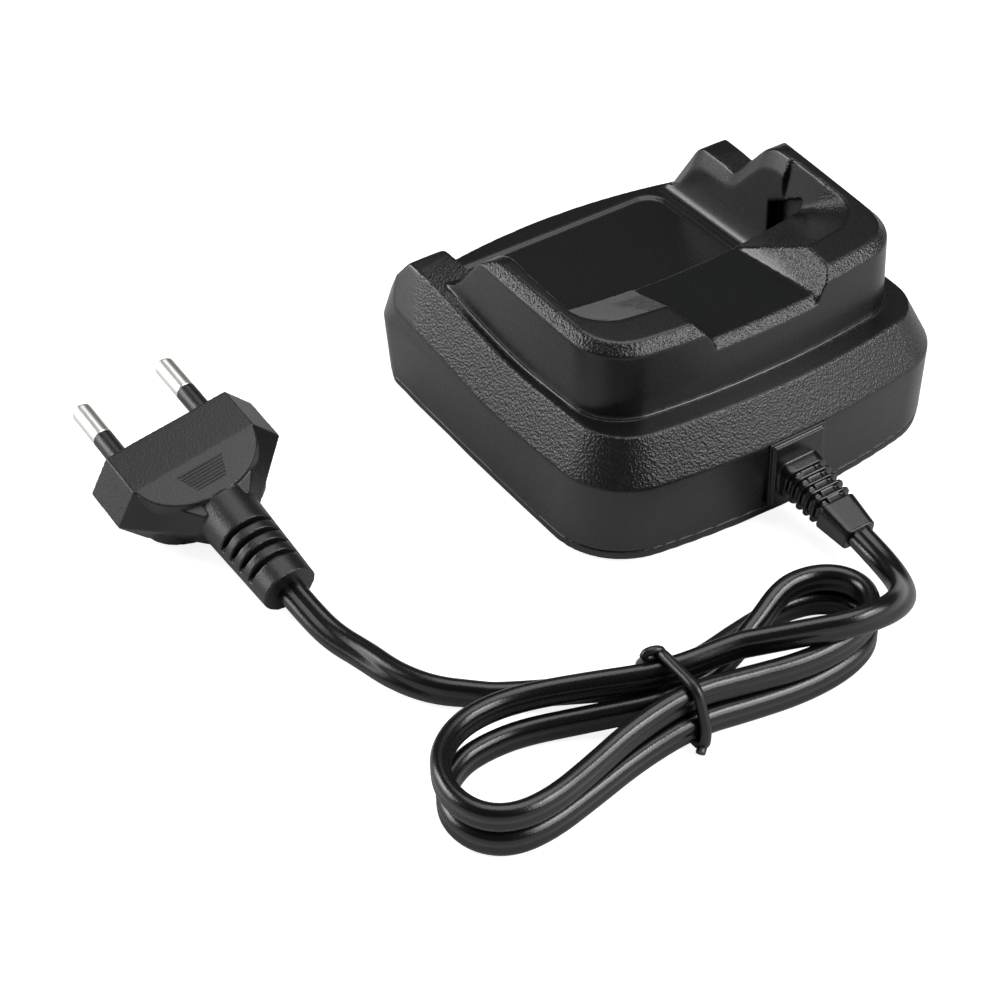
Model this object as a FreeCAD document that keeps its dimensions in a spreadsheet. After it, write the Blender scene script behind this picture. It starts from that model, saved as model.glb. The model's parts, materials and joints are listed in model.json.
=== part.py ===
import FreeCAD, Part
import math
import os
from types import SimpleNamespace

Vector = FreeCAD.Vector

# Desk charger for a handheld two-way radio.
# Frame: +Z up, the charger's front edge towards -Y, the cord's exit towards +Y, all lengths in mm.
# The origin is on the table under the middle of the charger.

doc = FreeCAD.newDocument("radio_charger")
sheet = doc.addObject("Spreadsheet::Sheet", "sizes")

SIZES = {
    # housing outline, one set for each level
    "case_back": 41.6,
    "case_front": 41.6,
    "base_widest_place": 11.2,
    "side_widest_place": -30.0,
    "foot_gap": 0.5,
    "parting_height": 2.8,
    "shoulder_height": 17.6,
    "ridge_height": 26.0,
    "base_half_width": 41.0,
    "base_side_bow": 1150.0,
    "base_corner": 15.0,
    "base_front_corner": 6.5,
    "base_front_bow": 165.0,
    "base_inset": 0.7,
    "shoulder_flare": 0.9,
    "shoulder_side_bow": 1150.0,
    "shoulder_corner": 14.0,
    "shoulder_front_corner": 6.0,
    "front_bow": 125.0,
    "back_bow": 172.0,
    "ridge_inset": 4.3,
    "ridge_back_inset": 4.2,
    "ridge_corner": 10.2,
    # front part of the band, which rises towards the ears
    "rise_start": 11.0,
    "rise_run": 40.0,
    "rise_height": 4.7,
    "ear_rise_start": -9.0,
    "ear_rise_run": 9.0,
    "crown_front_corner": 24.0,
    # upright wall that stands on the ledge in a U
    "wall_ledge": 2.0,
    "wall_back_ledge": 5.0,
    "wall_corner": 10.6,
    "wall_lean": 0.35,
    "wall_height": 42.6,
    "wall_slope": 0.054,
    "wall_chamfer": 1.8,
    # ears at the front of the side walls, and the notch behind them
    "ear_height": 32.0,
    "ear_front_margin": 5.0,
    "ear_front_top": 27.4,
    "notch_front": 15.6,
    "notch_rear": 5.8,
    "notch_floor": 30.4,
    "ear_round": 5.0,
    "notch_round": 7.0,
    "peak_round": 8.0,
    # pocket for the radio
    "side_wall_thickness": 6.5,
    "pocket_floor": 18.3,
    "pocket_back": 7.65,
    "pocket_bow": 143.0,
    "pocket_fillet": 2.5,
    "lead_in": 1.5,
    "lead_in_height": 3.6,
    "recess_margin": 3.1,
    "recess_front_margin": 5.0,
    "recess_depth": 0.5,
    "recess_corner": 5.0,
    "funnel_low": 34.0,
    "funnel_margin": 8.4,
    "funnel_corner": 9.0,
    "clip_half_width": 11.65,
    "clip_ramp": 0.72,
    "clip_slope": 0.11,
    "guide_front": 4.05,
    "guide_rear": 5.05,
    "guide_low_top": 31.6,
    "guide_high_top": 36.6,
    "guide_depth": 2.7,
    # shell
    "shell": 2.2,
    "floor_thickness": 2.2,
    "pocket_wall": 2.0,
    "rear_roof": 31.4,
    "cover_thickness": 2.3,
    "cover_lip_height": 2.6,
    "cover_lip_thickness": 1.2,
    "fit_gap": 0.15,
    "cover_lip_gap": 0.75,
    # case screws and feet
    "screw_side": 20.0,
    "screw_front_margin": 9.1,
    "screw_rear_margin": 10.6,
    "column_radius": 3.4,
    "screw_boss_height": 3.2,
    "screw_shank_radius": 1.3,
    "screw_head_radius": 2.6,
    "screw_head_height": 1.6,
    "screw_head_seat": 1.2,
    "thread_bite": 0.1,
    "screw_length": 9.0,
    "foot_side_margin": 10.0,
    "foot_front_margin": 13.6,
    "foot_rear_margin": 14.6,
    "foot_radius": 4.5,
    "foot_recess": 0.7,
    "plate_width": 38.0,
    "plate_depth": 18.0,
    "plate_thickness": 0.3,
    # circuit board and what stands on it
    "board_width": 50.0,
    "board_front": 20.0,
    "board_rear_margin": 15.6,
    "board_thickness": 1.6,
    "board_bottom": 6.4,
    "board_screw_inset": 3.5,
    "board_boss_radius": 2.6,
    "board_screw_radius": 0.9,
    "board_screw_head": 1.9,
    "board_screw_length": 4.5,
    "core_side": -12.0,
    "core_place": 22.5,
    "core_lift": 0.6,
    "core_width": 14.0,
    "core_depth": 5.0,
    "core_height": 12.0,
    "bobbin_radius": 5.2,
    "bobbin_height": 9.0,
    "big_capacitor_side": 13.5,
    "big_capacitor_place": 22.0,
    "big_capacitor_radius": 4.0,
    "big_capacitor_height": 13.0,
    "small_capacitor_side": 21.0,
    "small_capacitor_place": 14.0,
    "small_capacitor_radius": 3.15,
    "small_capacitor_height": 11.0,
    "fuse_side": -23.0,
    "fuse_place": 12.0,
    "fuse_radius": 1.6,
    "fuse_length": 9.0,
    "diode_side": -4.0,
    "diode_place": -1.0,
    "diode_pitch": 4.0,
    "diode_radius": 1.35,
    "diode_length": 5.0,
    "chip_side": 8.0,
    "chip_place": -8.0,
    "chip_width": 6.2,
    "chip_depth": 5.0,
    "chip_height": 1.6,
    "led_width": 2.0,
    "light_radius": 1.5,
    "light_height": 11.0,
    # sprung contacts
    "contact_side": 6.5,
    "contact_height": 23.5,
    "contact_radius": 1.2,
    "contact_pressed_out": 0.5,
    "contact_travel": 1.5,
    "contact_fit": 0.05,
    "contact_collar": 2.0,
    "spring_wire": 0.25,
    "spring_coil": 1.35,
    "spring_turns": 6.0,
    "block_width": 20.0,
    "block_depth": 9.0,
    "block_height": 7.0,
    "block_skin": 1.2,
    "block_end": 1.6,
    "collar_length": 1.0,
    "pin_dome": 0.6,
    "terminal_radius": 0.8,
    "terminal_length": 3.0,
    # cord and its strain relief
    "relief_width": 11.2,
    "relief_low": 4.0,
    "relief_high": 17.0,
    "relief_plate": 1.3,
    "relief_exit": 9.2,
    "relief_drop": 10.0,
    "relief_length": 17.6,
    "relief_root_width": 9.4,
    "relief_root_height": 7.2,
    "relief_tip_width": 7.4,
    "relief_tip_height": 5.2,
    "relief_neck": 6.6,
    "relief_ribs": 4.0,
    "relief_collar_share": 0.12,
    "relief_block_share": 0.39,
    "relief_rib_share": 0.4,
    "cord_diameter": 4.2,
    "wire_radius": 0.7,
    "wire_side": 1.2,
    "wire_run": 10.4,
    "relief_stop_gap": 2.6,
    "relief_stop_depth": 2.0,
    # bar that holds the wires down on two posts of the cover
    "clamp_length": 16.0,
    "clamp_depth": 4.0,
    "clamp_thickness": 2.0,
    "clamp_place": 32.2,
    "clamp_post_side": 6.0,
    "clamp_post_radius": 1.6,
    "clamp_pin_radius": 0.8,
    # hank: two turns, piled, drawn in by a tie
    "hank_middle": 50.8,
    "hank_waist_place": 73.6,
    "hank_left_reach": 43.2,
    "hank_right_reach": 40.8,
    "hank_waist": 5.0,
    "hank_left_bulge": 20.0,
    "hank_right_bulge": 11.5,
    "hank_left_sway": 3.9,
    "hank_lean": 1.5,
    "hank_pitch": 4.85,
    "hank_spread": 2.5,
    "hank_lift": 2.0,
    "hank_floor_gap": 0.08,
    "tie_diameter": 1.8,
    "tie_gap": 0.4,
    # plug with two round pins
    "plug_half_width": 17.2,
    "plug_face_half_width": 12.6,
    "plug_half_height": 6.85,
    "plug_block": 10.0,
    "plug_neck": 20.5,
    "plug_neck_half_width": 6.6,
    "plug_neck_half_height": 5.9,
    "plug_length": 40.5,
    "plug_tail_half_width": 5.3,
    "plug_tail_half_height": 4.4,
    "plug_flank": 13.5,
    "plug_flank_half_height": 5.0,
    "plug_waist_half_height": 4.2,
    "tongue_length": 8.7,
    "tongue_inset": 0.3,
    "tongue_end_half_height": 5.4,
    "plug_slot": 1.1,
    "plug_slot_pitch": 2.9,
    "plug_slot_start": 6.0,
    "pin_radius": 2.0,
    "pin_length": 19.0,
    "pin_spacing": 18.0,
    "pin_sleeve": 10.0,
    "pin_sleeve_wall": 0.2,
    "pin_collar_radius": 2.6,
    "pin_collar_depth": 3.0,
    "pin_tip_length": 1.0,
    "pin_root": 7.0,
}

for row, (name, value) in enumerate(SIZES.items(), start=1):
    sheet.set("A%d" % row, name)
    sheet.set("B%d" % row, str(value))
    sheet.setAlias("B%d" % row, name)
doc.recompute()
s = SimpleNamespace(**{name: float(sheet.get(name)) for name in SIZES})

# Sizes that follow from a driving size and a named difference
s.shoulder_half_width = s.base_half_width + s.shoulder_flare
s.ridge_half_width = s.shoulder_half_width - s.ridge_inset
s.wall_half_width = s.ridge_half_width - s.wall_ledge
s.pocket_half_width = s.wall_half_width - s.side_wall_thickness
s.recess_half_width = s.pocket_half_width - s.recess_margin
s.foot_side = s.base_half_width - s.foot_side_margin
s.ridge_back = s.case_back - s.ridge_back_inset
s.wall_back = s.ridge_back - s.wall_back_ledge
s.funnel_back = s.wall_back - s.funnel_margin
s.board_rear = s.case_back - s.board_rear_margin
s.screw_rear = s.case_back - s.screw_rear_margin
s.foot_rear = s.case_back - s.foot_rear_margin
s.ear_front_foot = s.case_front - s.ear_front_margin
s.recess_front = s.case_front - s.recess_front_margin
s.screw_front = s.case_front - s.screw_front_margin
s.foot_front = s.case_front - s.foot_front_margin
s.contact_stand_out = s.contact_travel + s.contact_pressed_out
s.pin_core_radius = s.pin_radius - s.pin_sleeve_wall

parts = []


def keep(feature, label):
    """Give a finished sub-part the label that names its file."""
    feature.Label = label
    parts.append(feature)
    return feature


def add_shape(label, shape, placement=None):
    """Make a sub-part from a shape worked out from the sheet's sizes."""
    feature = doc.addObject("Part::Feature", label)
    feature.Shape = shape
    if placement is not None:
        feature.Placement = placement
    return keep(feature, label)


def bound(kind, name, **expressions):
    """Make a primitive whose sizes are bound to the sheet."""
    feature = doc.addObject(kind, name)
    for prop, expression in expressions.items():
        feature.setExpression(prop, expression)
    return feature


def group(label, features):
    """Put equal solids into one sub-part."""
    compound = doc.addObject("Part::Compound", label)
    compound.Links = features
    return keep(compound, label)


def fuse(shapes, seam=0.0):
    """Join shapes into one solid, closing seams up to a width."""
    return shapes[0].multiFuse(shapes[1:], seam).removeSplitter()


def upright(edge):
    """Whether a straight edge stands upright."""
    ends = edge.Vertexes
    return abs(ends[0].X - ends[1].X) + abs(ends[0].Y - ends[1].Y) < 0.001


def box(x0, x1, y0, y1, z0, z1):
    """Box between two corners."""
    return Part.makeBox(x1 - x0, y1 - y0, z1 - z0, Vector(x0, y0, z0))


def upright_rod(radius, length, x, y, z):
    """Round rod that stands on its foot's middle."""
    return Part.makeCylinder(radius, length, Vector(x, y, z))


def both_sides(shape):
    """The shape with its mirror image across the middle plane."""
    return [shape, shape.mirror(Vector(0, 0, 0), Vector(1, 0, 0))]


def arc(a, b, c):
    """Arc edge through three points."""
    return Part.Arc(a, b, c).toShape()


# Outlines in plan: bowed sides, bowed back, bowed front and round corners

def corner_centre(circle_a, circle_b, radius, upper):
    """Centre of a round that touches two bows from the inside, on the +X side."""
    (ax, ay, ar), (bx, by, br) = circle_a, circle_b
    ra, rb = ar - radius, br - radius
    gap = math.hypot(bx - ax, by - ay)
    along = (ra * ra - rb * rb + gap * gap) / (2 * gap)
    aside = math.sqrt(ra * ra - along * along)
    ux, uy = (bx - ax) / gap, (by - ay) / gap
    found = [(ax + ux * along - k * uy * aside, ay + uy * along + k * ux * aside) for k in (1, -1)]
    return max(found, key=lambda p: p[1] if upper else -p[1])


def touch(circle, centre):
    """Where the round about centre touches the bow."""
    cx, cy, radius = circle
    far = math.hypot(centre[0] - cx, centre[1] - cy)
    return cx + (centre[0] - cx) / far * radius, cy + (centre[1] - cy) / far * radius


def outline(z, half_width, back, front, corner, front_corner, side_bow, widest, front_bow, inset=0.0):
    """Closed plan outline of the case at one height."""
    side = (half_width - side_bow, widest, side_bow - inset)
    rear = (0.0, back - s.back_bow, s.back_bow - inset)
    fore = (0.0, -front + front_bow, front_bow - inset)
    rear_round = max(corner - inset, 1.0)
    fore_round = max(front_corner - inset, 1.0)
    c1 = corner_centre(side, rear, rear_round, True)
    c2 = corner_centre(side, fore, fore_round, False)
    p_rear, p_side_rear = touch(rear, c1), touch(side, c1)
    p_side_fore, p_fore = touch(side, c2), touch(fore, c2)

    def middle(centre, radius, a, b):
        mx, my = (a[0] + b[0]) / 2 - centre[0], (a[1] + b[1]) / 2 - centre[1]
        far = math.hypot(mx, my)
        return centre[0] + mx / far * radius, centre[1] + my / far * radius

    right = [
        (p_rear, middle(c1, rear_round, p_rear, p_side_rear), p_side_rear),
        (p_side_rear, middle(side, side[2], p_side_rear, p_side_fore), p_side_fore),
        (p_side_fore, middle(c2, fore_round, p_side_fore, p_fore), p_fore),
    ]
    left = [tuple((-x, y) for x, y in reversed(run)) for run in reversed(right)]
    runs = [((-p_rear[0], p_rear[1]), (0.0, back - inset), p_rear)] + right
    runs += [(p_fore, (0.0, -front + inset), (-p_fore[0], p_fore[1]))] + left
    return Part.Wire([arc(*[Vector(x, y, z) for x, y in run]) for run in runs])


def base_outline(z, inset=0.0):
    return outline(z, s.base_half_width, s.case_back - s.base_inset, s.case_front, s.base_corner,
                   s.base_front_corner, s.base_side_bow, s.base_widest_place, s.base_front_bow, inset)


def shoulder_outline(z, inset=0.0):
    return outline(z, s.shoulder_half_width, s.case_back, s.case_front, s.shoulder_corner,
                   s.shoulder_front_corner, s.shoulder_side_bow, s.side_widest_place, s.front_bow, inset)


def ridge_outline(z, inset=0.0):
    return outline(z, s.ridge_half_width, s.ridge_back, s.case_front - 0.5, s.ridge_corner,
                   s.shoulder_front_corner, s.shoulder_side_bow, s.side_widest_place, s.front_bow, inset)


def wall_outline(z, inset=0.0):
    lean = s.wall_lean * (z - s.ridge_height) / (s.wall_height - s.ridge_height)
    return outline(z, s.wall_half_width - lean, s.wall_back - lean, s.case_front, s.wall_corner,
                   s.shoulder_front_corner, s.shoulder_side_bow, s.side_widest_place, s.front_bow, inset)


def between(low, high):
    """Solid with straight sides between two outlines of the same make."""
    return Part.makeLoft([low, high], True, True)


def side_face(x, corners):
    """Face in a plane across X; each corner is (y, z, radius of its round)."""
    count = len(corners)
    edges = []
    starts, ends = [], []
    for i in range(count):
        y, z, radius = corners[i]
        here = Vector(x, y, z)
        before = (Vector(x, *corners[i - 1][:2]) - here).normalize()
        after = (Vector(x, *corners[(i + 1) % count][:2]) - here).normalize()
        if radius == 0:
            starts.append(here)
            ends.append(here)
            edges.append(None)
            continue
        half = before.getAngle(after) / 2
        a = here + before * (radius / math.tan(half))
        b = here + after * (radius / math.tan(half))
        centre = here + (before + after).normalize() * (radius / math.sin(half))
        top = centre + (here - centre).normalize() * radius
        starts.append(a)
        ends.append(b)
        edges.append(arc(a, top, b))
    path = []
    for i in range(count):
        if edges[i] is not None:
            path.append(edges[i])
        path.append(Part.LineSegment(ends[i], starts[(i + 1) % count]).toShape())
    return Part.Face(Part.Wire(path))


# Housing

FAR = 70.0
HIGH = 90.0
BAND_SEAM = 0.001


def wall_top(y):
    """Height of the upright wall's top at a place along Y."""
    return s.wall_height - s.wall_slope * y


def air_over_walls(x):
    """Side view of the free space over the front rim, the ears, the notches and the wall."""
    corners = [
        (-FAR, s.pocket_floor, 0),
        (-s.ear_front_foot, s.pocket_floor, 0),
        (-s.ear_front_top, s.ear_height, s.ear_round),
        (-s.notch_front, s.ear_height, s.notch_round),
        (-s.notch_rear, wall_top(-s.notch_rear), s.peak_round),
        (FAR, wall_top(FAR), 0),
        (FAR, HIGH, 0),
        (-FAR, HIGH, 0),
    ]
    return side_face(x, corners)


def upright_wall():
    """Block of the U-shaped wall, its top edge broken, its front ends cut back along the notch."""
    root = s.ridge_height - 2.0
    block = between(wall_outline(root), wall_outline(s.wall_height + 3.0))
    over = side_face(-FAR, [
        (-FAR, wall_top(-FAR), 0), (FAR, wall_top(FAR), 0), (FAR, HIGH, 0), (-FAR, HIGH, 0)])
    block = block.cut(over.extrude(Vector(2 * FAR, 0, 0)))
    top_edges = [e for e in block.Edges if all(abs(v.Z - wall_top(v.Y)) < 0.01 for v in e.Vertexes)]
    block = block.makeChamfer(s.wall_chamfer, top_edges)
    rise = (wall_top(-s.notch_rear) - s.ear_height) / (s.notch_front - s.notch_rear)
    foot = -s.notch_front - (s.ear_height - s.notch_floor) / rise
    tip = -s.notch_front + (HIGH - s.ear_height) / rise
    front = side_face(-FAR, [
        (-FAR, s.notch_floor, 0), (foot, s.notch_floor, s.notch_round), (tip, HIGH, 0), (-FAR, HIGH, 0)])
    return block.cut(front.extrude(Vector(2 * FAR, 0, 0)))


def eased(start, run, y):
    """Share of a rise that starts and ends level, from 0 at its start to 1 after its run towards -Y."""
    k = min(max((start - y) / run, 0.0), 1.0)
    return k * k * (3 - 2 * k)


def front_section(y):
    """Section across the front part: band, ridge and the ledge that rises inwards to the ear's top."""
    bow = s.shoulder_side_bow
    sag = bow - math.sqrt(bow ** 2 - (y - s.side_widest_place) ** 2)
    ridge_x = s.ridge_half_width - sag
    ridge_z = s.ridge_height + s.rise_height * eased(s.rise_start, s.rise_run, y)
    low = s.shoulder_height - 3.0
    band_slope = s.ridge_inset / (s.ridge_height - s.shoulder_height)
    foot_x = ridge_x + (ridge_z - low) * band_slope
    inner_x = s.pocket_half_width - 1.0
    inner_z = ridge_z + (s.ear_height + 0.3 - ridge_z) * eased(s.ear_rise_start, s.ear_rise_run, y)
    right = [(foot_x, low), (ridge_x, ridge_z), (inner_x, inner_z)]
    points = right + [(-x, z) for x, z in reversed(right)]
    return Part.makePolygon([Vector(x, y, z) for x, z in points + points[:1]])


def rising_front():
    """Front part of the case above the belt line, which rises towards the ears."""
    steps = 20
    far = s.case_front + 3.0
    places = [s.rise_start - (s.rise_start + far) * i / steps for i in range(steps + 1)]
    roof = Part.makeLoft([front_section(y) for y in places], True, True)
    crown = outline(s.ear_height + 1.0, s.shoulder_half_width, s.case_back, s.case_front, s.shoulder_corner,
                    s.crown_front_corner, s.shoulder_side_bow, s.side_widest_place, s.front_bow)
    return between(shoulder_outline(s.shoulder_height), crown).common(roof)


def pocket():
    """Space of the radio: side view section with round foot corners, ended by the bowed back face."""
    half, low = s.pocket_half_width, s.pocket_floor
    r = s.pocket_fillet
    lean = r * (1 - math.sqrt(0.5))
    section = Part.Wire([
        Part.LineSegment(Vector(-half + r, -FAR, low), Vector(half - r, -FAR, low)).toShape(),
        arc(Vector(half - r, -FAR, low), Vector(half - lean, -FAR, low + lean), Vector(half, -FAR, low + r)),
        Part.LineSegment(Vector(half, -FAR, low + r), Vector(half, -FAR, HIGH)).toShape(),
        Part.LineSegment(Vector(half, -FAR, HIGH), Vector(-half, -FAR, HIGH)).toShape(),
        Part.LineSegment(Vector(-half, -FAR, HIGH), Vector(-half, -FAR, low + r)).toShape(),
        arc(Vector(-half, -FAR, low + r), Vector(-half + lean, -FAR, low + lean),
            Vector(-half + r, -FAR, low)),
    ])
    trough = Part.Face(section).extrude(Vector(0, 2 * FAR, 0))
    return trough.common(in_front_of_back(s.pocket_back, 0, HIGH))


def in_front_of_back(place, z0, z1):
    """Everything in front of the pocket's bowed back face, moved to a place along Y."""
    centre = Vector(0, place - s.pocket_bow, z0)
    round_block = Part.makeCylinder(s.pocket_bow, z1 - z0, centre)
    return round_block.common(box(-FAR, FAR, -FAR, place + 1, z0, z1))


def lead_ins():
    """Slanted strips along the inner edge of both side walls."""
    x = s.pocket_half_width + s.lead_in
    strip = air_over_walls(x).extrude(Vector(-s.lead_in, 0, -s.lead_in_height))
    strip = strip.common(box(0, FAR, -FAR, s.pocket_back, s.pocket_floor, HIGH))
    return both_sides(strip)


def bowl_outline(z, half_width, front, back, corner):
    """Plan outline with a bowed back and two round rear corners."""
    bow = s.pocket_bow
    cy = back - bow
    ry = cy + math.sqrt((bow - corner) ** 2 - (half_width - corner) ** 2)
    rx = half_width - corner
    far = math.hypot(rx, ry - cy)
    tx, ty = rx / far * bow, cy + (ry - cy) / far * bow
    mx, my = (half_width + tx) / 2 - rx, (ry + ty) / 2 - ry
    k = corner / math.hypot(mx, my)
    mx, my = rx + mx * k, ry + my * k
    return Part.Wire([
        Part.LineSegment(Vector(-half_width, front, z), Vector(half_width, front, z)).toShape(),
        Part.LineSegment(Vector(half_width, front, z), Vector(half_width, ry, z)).toShape(),
        arc(Vector(half_width, ry, z), Vector(mx, my, z), Vector(tx, ty, z)),
        arc(Vector(tx, ty, z), Vector(0, back, z), Vector(-tx, ty, z)),
        arc(Vector(-tx, ty, z), Vector(-mx, my, z), Vector(-half_width, ry, z)),
        Part.LineSegment(Vector(-half_width, ry, z), Vector(-half_width, front, z)).toShape(),
    ])


def funnel():
    """Sloped opening behind the pocket's back face, up to the back wall's inner edge."""
    edge = wall_top(s.funnel_back)
    over = s.wall_height + 3.0
    k = (over - s.funnel_low) / (edge - s.funnel_low)
    low_corner = 1.5
    low = bowl_outline(s.funnel_low, s.pocket_half_width, 0, s.pocket_back, low_corner)
    high = bowl_outline(over, s.pocket_half_width + s.lead_in * k, 0,
                        s.pocket_back + (s.funnel_back - s.pocket_back) * k,
                        low_corner + (s.funnel_corner - low_corner) * k)
    return between(low, high)


def clip_channel():
    """Sloping channel for the radio's belt clip, through the back wall."""
    y = s.pocket_back - 2.0
    rise = 14.0
    low, half = s.funnel_low - 2.0 * s.clip_slope, s.clip_half_width
    wide = half + s.clip_ramp * rise
    points = [(-half, low), (half, low), (wide, low + rise), (-wide, low + rise), (-half, low)]
    face = Part.Face(Part.makePolygon([Vector(x, y, z) for x, z in points]))
    reach = s.case_back
    return face.extrude(Vector(0, reach, reach * s.clip_slope))


def lip_break():
    """What leaves the channel's rear lip so that its edge is broken like the wall's top edge."""
    top = s.funnel_low + (s.wall_back - s.pocket_back) * s.clip_slope
    low = top - s.wall_chamfer
    half = s.clip_half_width
    kept = between(wall_outline(low), wall_outline(top, s.wall_chamfer))
    return box(-half, half, s.pocket_back + 2.0, FAR, low, top).cut(kept)


def guide_grooves():
    """Upright grooves in the side walls beside the pocket's back face."""
    face = side_face(s.pocket_half_width - 1.0, [
        (-s.guide_front, s.pocket_floor, 0), (s.guide_rear, s.pocket_floor, 0),
        (s.guide_rear, s.guide_high_top, 0), (-s.guide_front, s.guide_low_top, 0)])
    return both_sides(face.extrude(Vector(1.0 + s.guide_depth, 0, 0)))


def screw_places():
    """Plan places of the four case screws."""
    return [(x, y) for y in (-s.screw_front, s.screw_rear) for x in (-s.screw_side, s.screw_side)]


def hollow():
    """Room inside the case, round the pocket and under the slope behind it."""
    low = s.parting_height
    skirt = between(base_outline(low, s.shell), shoulder_outline(s.shoulder_height, s.shell))
    band = between(shoulder_outline(s.shoulder_height, s.shell), ridge_outline(s.ridge_height, s.shell))
    room = skirt.fuse(band)
    room = room.common(box(-FAR, FAR, -FAR, FAR, low, s.ridge_height - s.shell))
    rear = wall_outline(s.ridge_height, s.shell)
    rear = Part.Face(rear).extrude(Vector(0, 0, s.rear_roof - s.ridge_height))
    rear = rear.fuse(Part.Face(wall_outline(s.ridge_height, s.shell)).extrude(Vector(0, 0, -s.shell - 1.0)))
    rear = rear.common(box(-s.pocket_half_width, s.pocket_half_width, 0, FAR, 0, HIGH))
    room = room.fuse(rear)
    outer = s.pocket_half_width + s.pocket_wall
    base = s.pocket_floor - s.recess_depth - s.floor_thickness
    keep_solid = box(-outer, outer, -FAR, FAR, base, HIGH)
    keep_solid = keep_solid.common(in_front_of_back(s.pocket_back + s.pocket_wall, 0, HIGH))
    groove = s.pocket_half_width + s.guide_depth + s.pocket_wall
    wide = box(-groove, groove, -s.guide_front - s.pocket_wall, s.guide_rear + s.pocket_wall, base, HIGH)
    return room.cut(keep_solid.fuse(wide))


def relief_slot(gap):
    """Square way through the back wall for the strain relief's neck."""
    half = s.relief_neck / 2 + gap
    return box(-half, half, s.ridge_back - 6.0, FAR, s.relief_exit - half, s.relief_exit + half)


def housing():
    rear_band = between(shoulder_outline(s.shoulder_height), ridge_outline(s.ridge_height))
    body = fuse([
        between(base_outline(s.parting_height), shoulder_outline(s.shoulder_height)),
        rear_band.common(box(-FAR, FAR, s.rise_start, FAR, 0, HIGH)),
        rising_front(),
        upright_wall(),
    ], BAND_SEAM)
    body = body.cut(air_over_walls(-FAR).extrude(Vector(2 * FAR, 0, 0)))
    recess = box(-s.recess_half_width, s.recess_half_width, -s.recess_front, s.pocket_back - 1.0,
                 s.pocket_floor - s.recess_depth, s.pocket_floor + 1.0)
    recess = recess.makeFillet(s.recess_corner, [e for e in recess.Edges if upright(e)])
    cuts = [pocket(), funnel(), clip_channel(), lip_break(), recess, hollow(), relief_slot(s.fit_gap)]
    cuts += lead_ins() + guide_grooves()
    for cut in cuts:
        body = body.cut(cut)
    columns = []
    column_foot = s.foot_gap + s.cover_thickness + s.screw_boss_height + 0.1
    for x, y in screw_places():
        roof = s.pocket_floor - 1.5 if y < 0 else s.ridge_height - 1.0
        columns.append(Part.makeCylinder(s.column_radius, roof - column_foot, Vector(x, y, column_foot)))
    body = fuse([body] + columns)
    for x, y in screw_places():
        pilot_radius = s.screw_shank_radius - s.thread_bite
        body = body.cut(upright_rod(pilot_radius, s.screw_length, x, y, column_foot - 0.5))
    for x in (-s.contact_side, s.contact_side):
        bore_start = Vector(x, 0, s.contact_height)
        bore = Part.makeCylinder(s.contact_radius + s.fit_gap * 2, 12.0, bore_start, Vector(0, 1, 0))
        body = body.cut(bore)
    light_start = Vector(0, -s.case_front - 2, s.light_height)
    return body.cut(Part.makeCylinder(s.light_radius + s.fit_gap, 12.0, light_start, Vector(0, 1, 0)))


def foot_places():
    """Plan places of the four rubber feet."""
    return [(x, y) for y in (-s.foot_front, s.foot_rear) for x in (-s.foot_side, s.foot_side)]


def board_bosses():
    """Plan places of the board's four screws."""
    x = s.board_width / 2 - s.board_screw_inset
    return [(k * x, y) for k in (-1, 1) for y in (-s.board_front + s.board_screw_inset,
                                                 s.board_rear - s.board_screw_inset)]


def clamp_low():
    """Height of the clamp bar's underside, just on the wires."""
    return s.relief_exit + s.wire_radius


def bottom_cover():
    low = s.foot_gap
    top = low + s.cover_thickness
    body = between(base_outline(low, 0.4), base_outline(top))
    gap = s.shell + s.cover_lip_gap
    lip = Part.Face(base_outline(top, gap)).extrude(Vector(0, 0, s.cover_lip_height))
    inside = Part.Face(base_outline(top, gap + s.cover_lip_thickness))
    inside = inside.extrude(Vector(0, 0, s.cover_lip_height))
    lip = lip.cut(inside)
    slot_half = s.relief_width / 2 + 1.0
    lip = lip.cut(box(-slot_half, slot_half, 0, FAR, top, top + 10))
    adds = [body, lip]
    for x, y in screw_places():
        adds.append(Part.makeCylinder(s.column_radius, s.screw_boss_height + 0.5, Vector(x, y, top - 0.5)))
        lip_room = Part.makeCylinder(s.column_radius + 0.4, 20, Vector(x, y, top + s.screw_boss_height))
        adds[1] = adds[1].cut(lip_room)
    for x, y in board_bosses():
        adds.append(upright_rod(s.board_boss_radius, s.board_bottom - top + 0.5, x, y, top - 0.5))
    for x in (-s.clamp_post_side, s.clamp_post_side):
        post_height = clamp_low() - top + 0.5
        adds.append(upright_rod(s.clamp_post_radius, post_height, x, s.clamp_place, top - 0.5))
        pin_height = post_height + s.clamp_thickness
        adds.append(upright_rod(s.clamp_pin_radius, pin_height, x, s.clamp_place, top - 0.5))
    body = fuse(adds)
    for x, y in screw_places():
        head_room = s.screw_head_height + s.screw_head_seat
        body = body.cut(Part.makeCylinder(s.screw_head_radius + s.fit_gap, head_room, Vector(x, y, low)))
        body = body.cut(Part.makeCylinder(s.screw_shank_radius + s.fit_gap, 20, Vector(x, y, low)))
    for x, y in foot_places():
        body = body.cut(Part.makeCylinder(s.foot_radius + s.fit_gap, s.foot_recess, Vector(x, y, low)))
    for x, y in board_bosses():
        pilot_radius = s.board_screw_radius - s.thread_bite
        body = body.cut(upright_rod(pilot_radius, 4.0, x, y, s.board_bottom - 4.0))
    recess = box(-s.plate_width / 2 - s.fit_gap, s.plate_width / 2 + s.fit_gap,
                 -s.plate_depth / 2 - s.fit_gap, s.plate_depth / 2 + s.fit_gap, low, low + s.plate_thickness)
    return body.cut(recess)


add_shape("top_housing", housing())
add_shape("bottom_cover", bottom_cover())

# Feet, case screws and the bare rating plate

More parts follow.
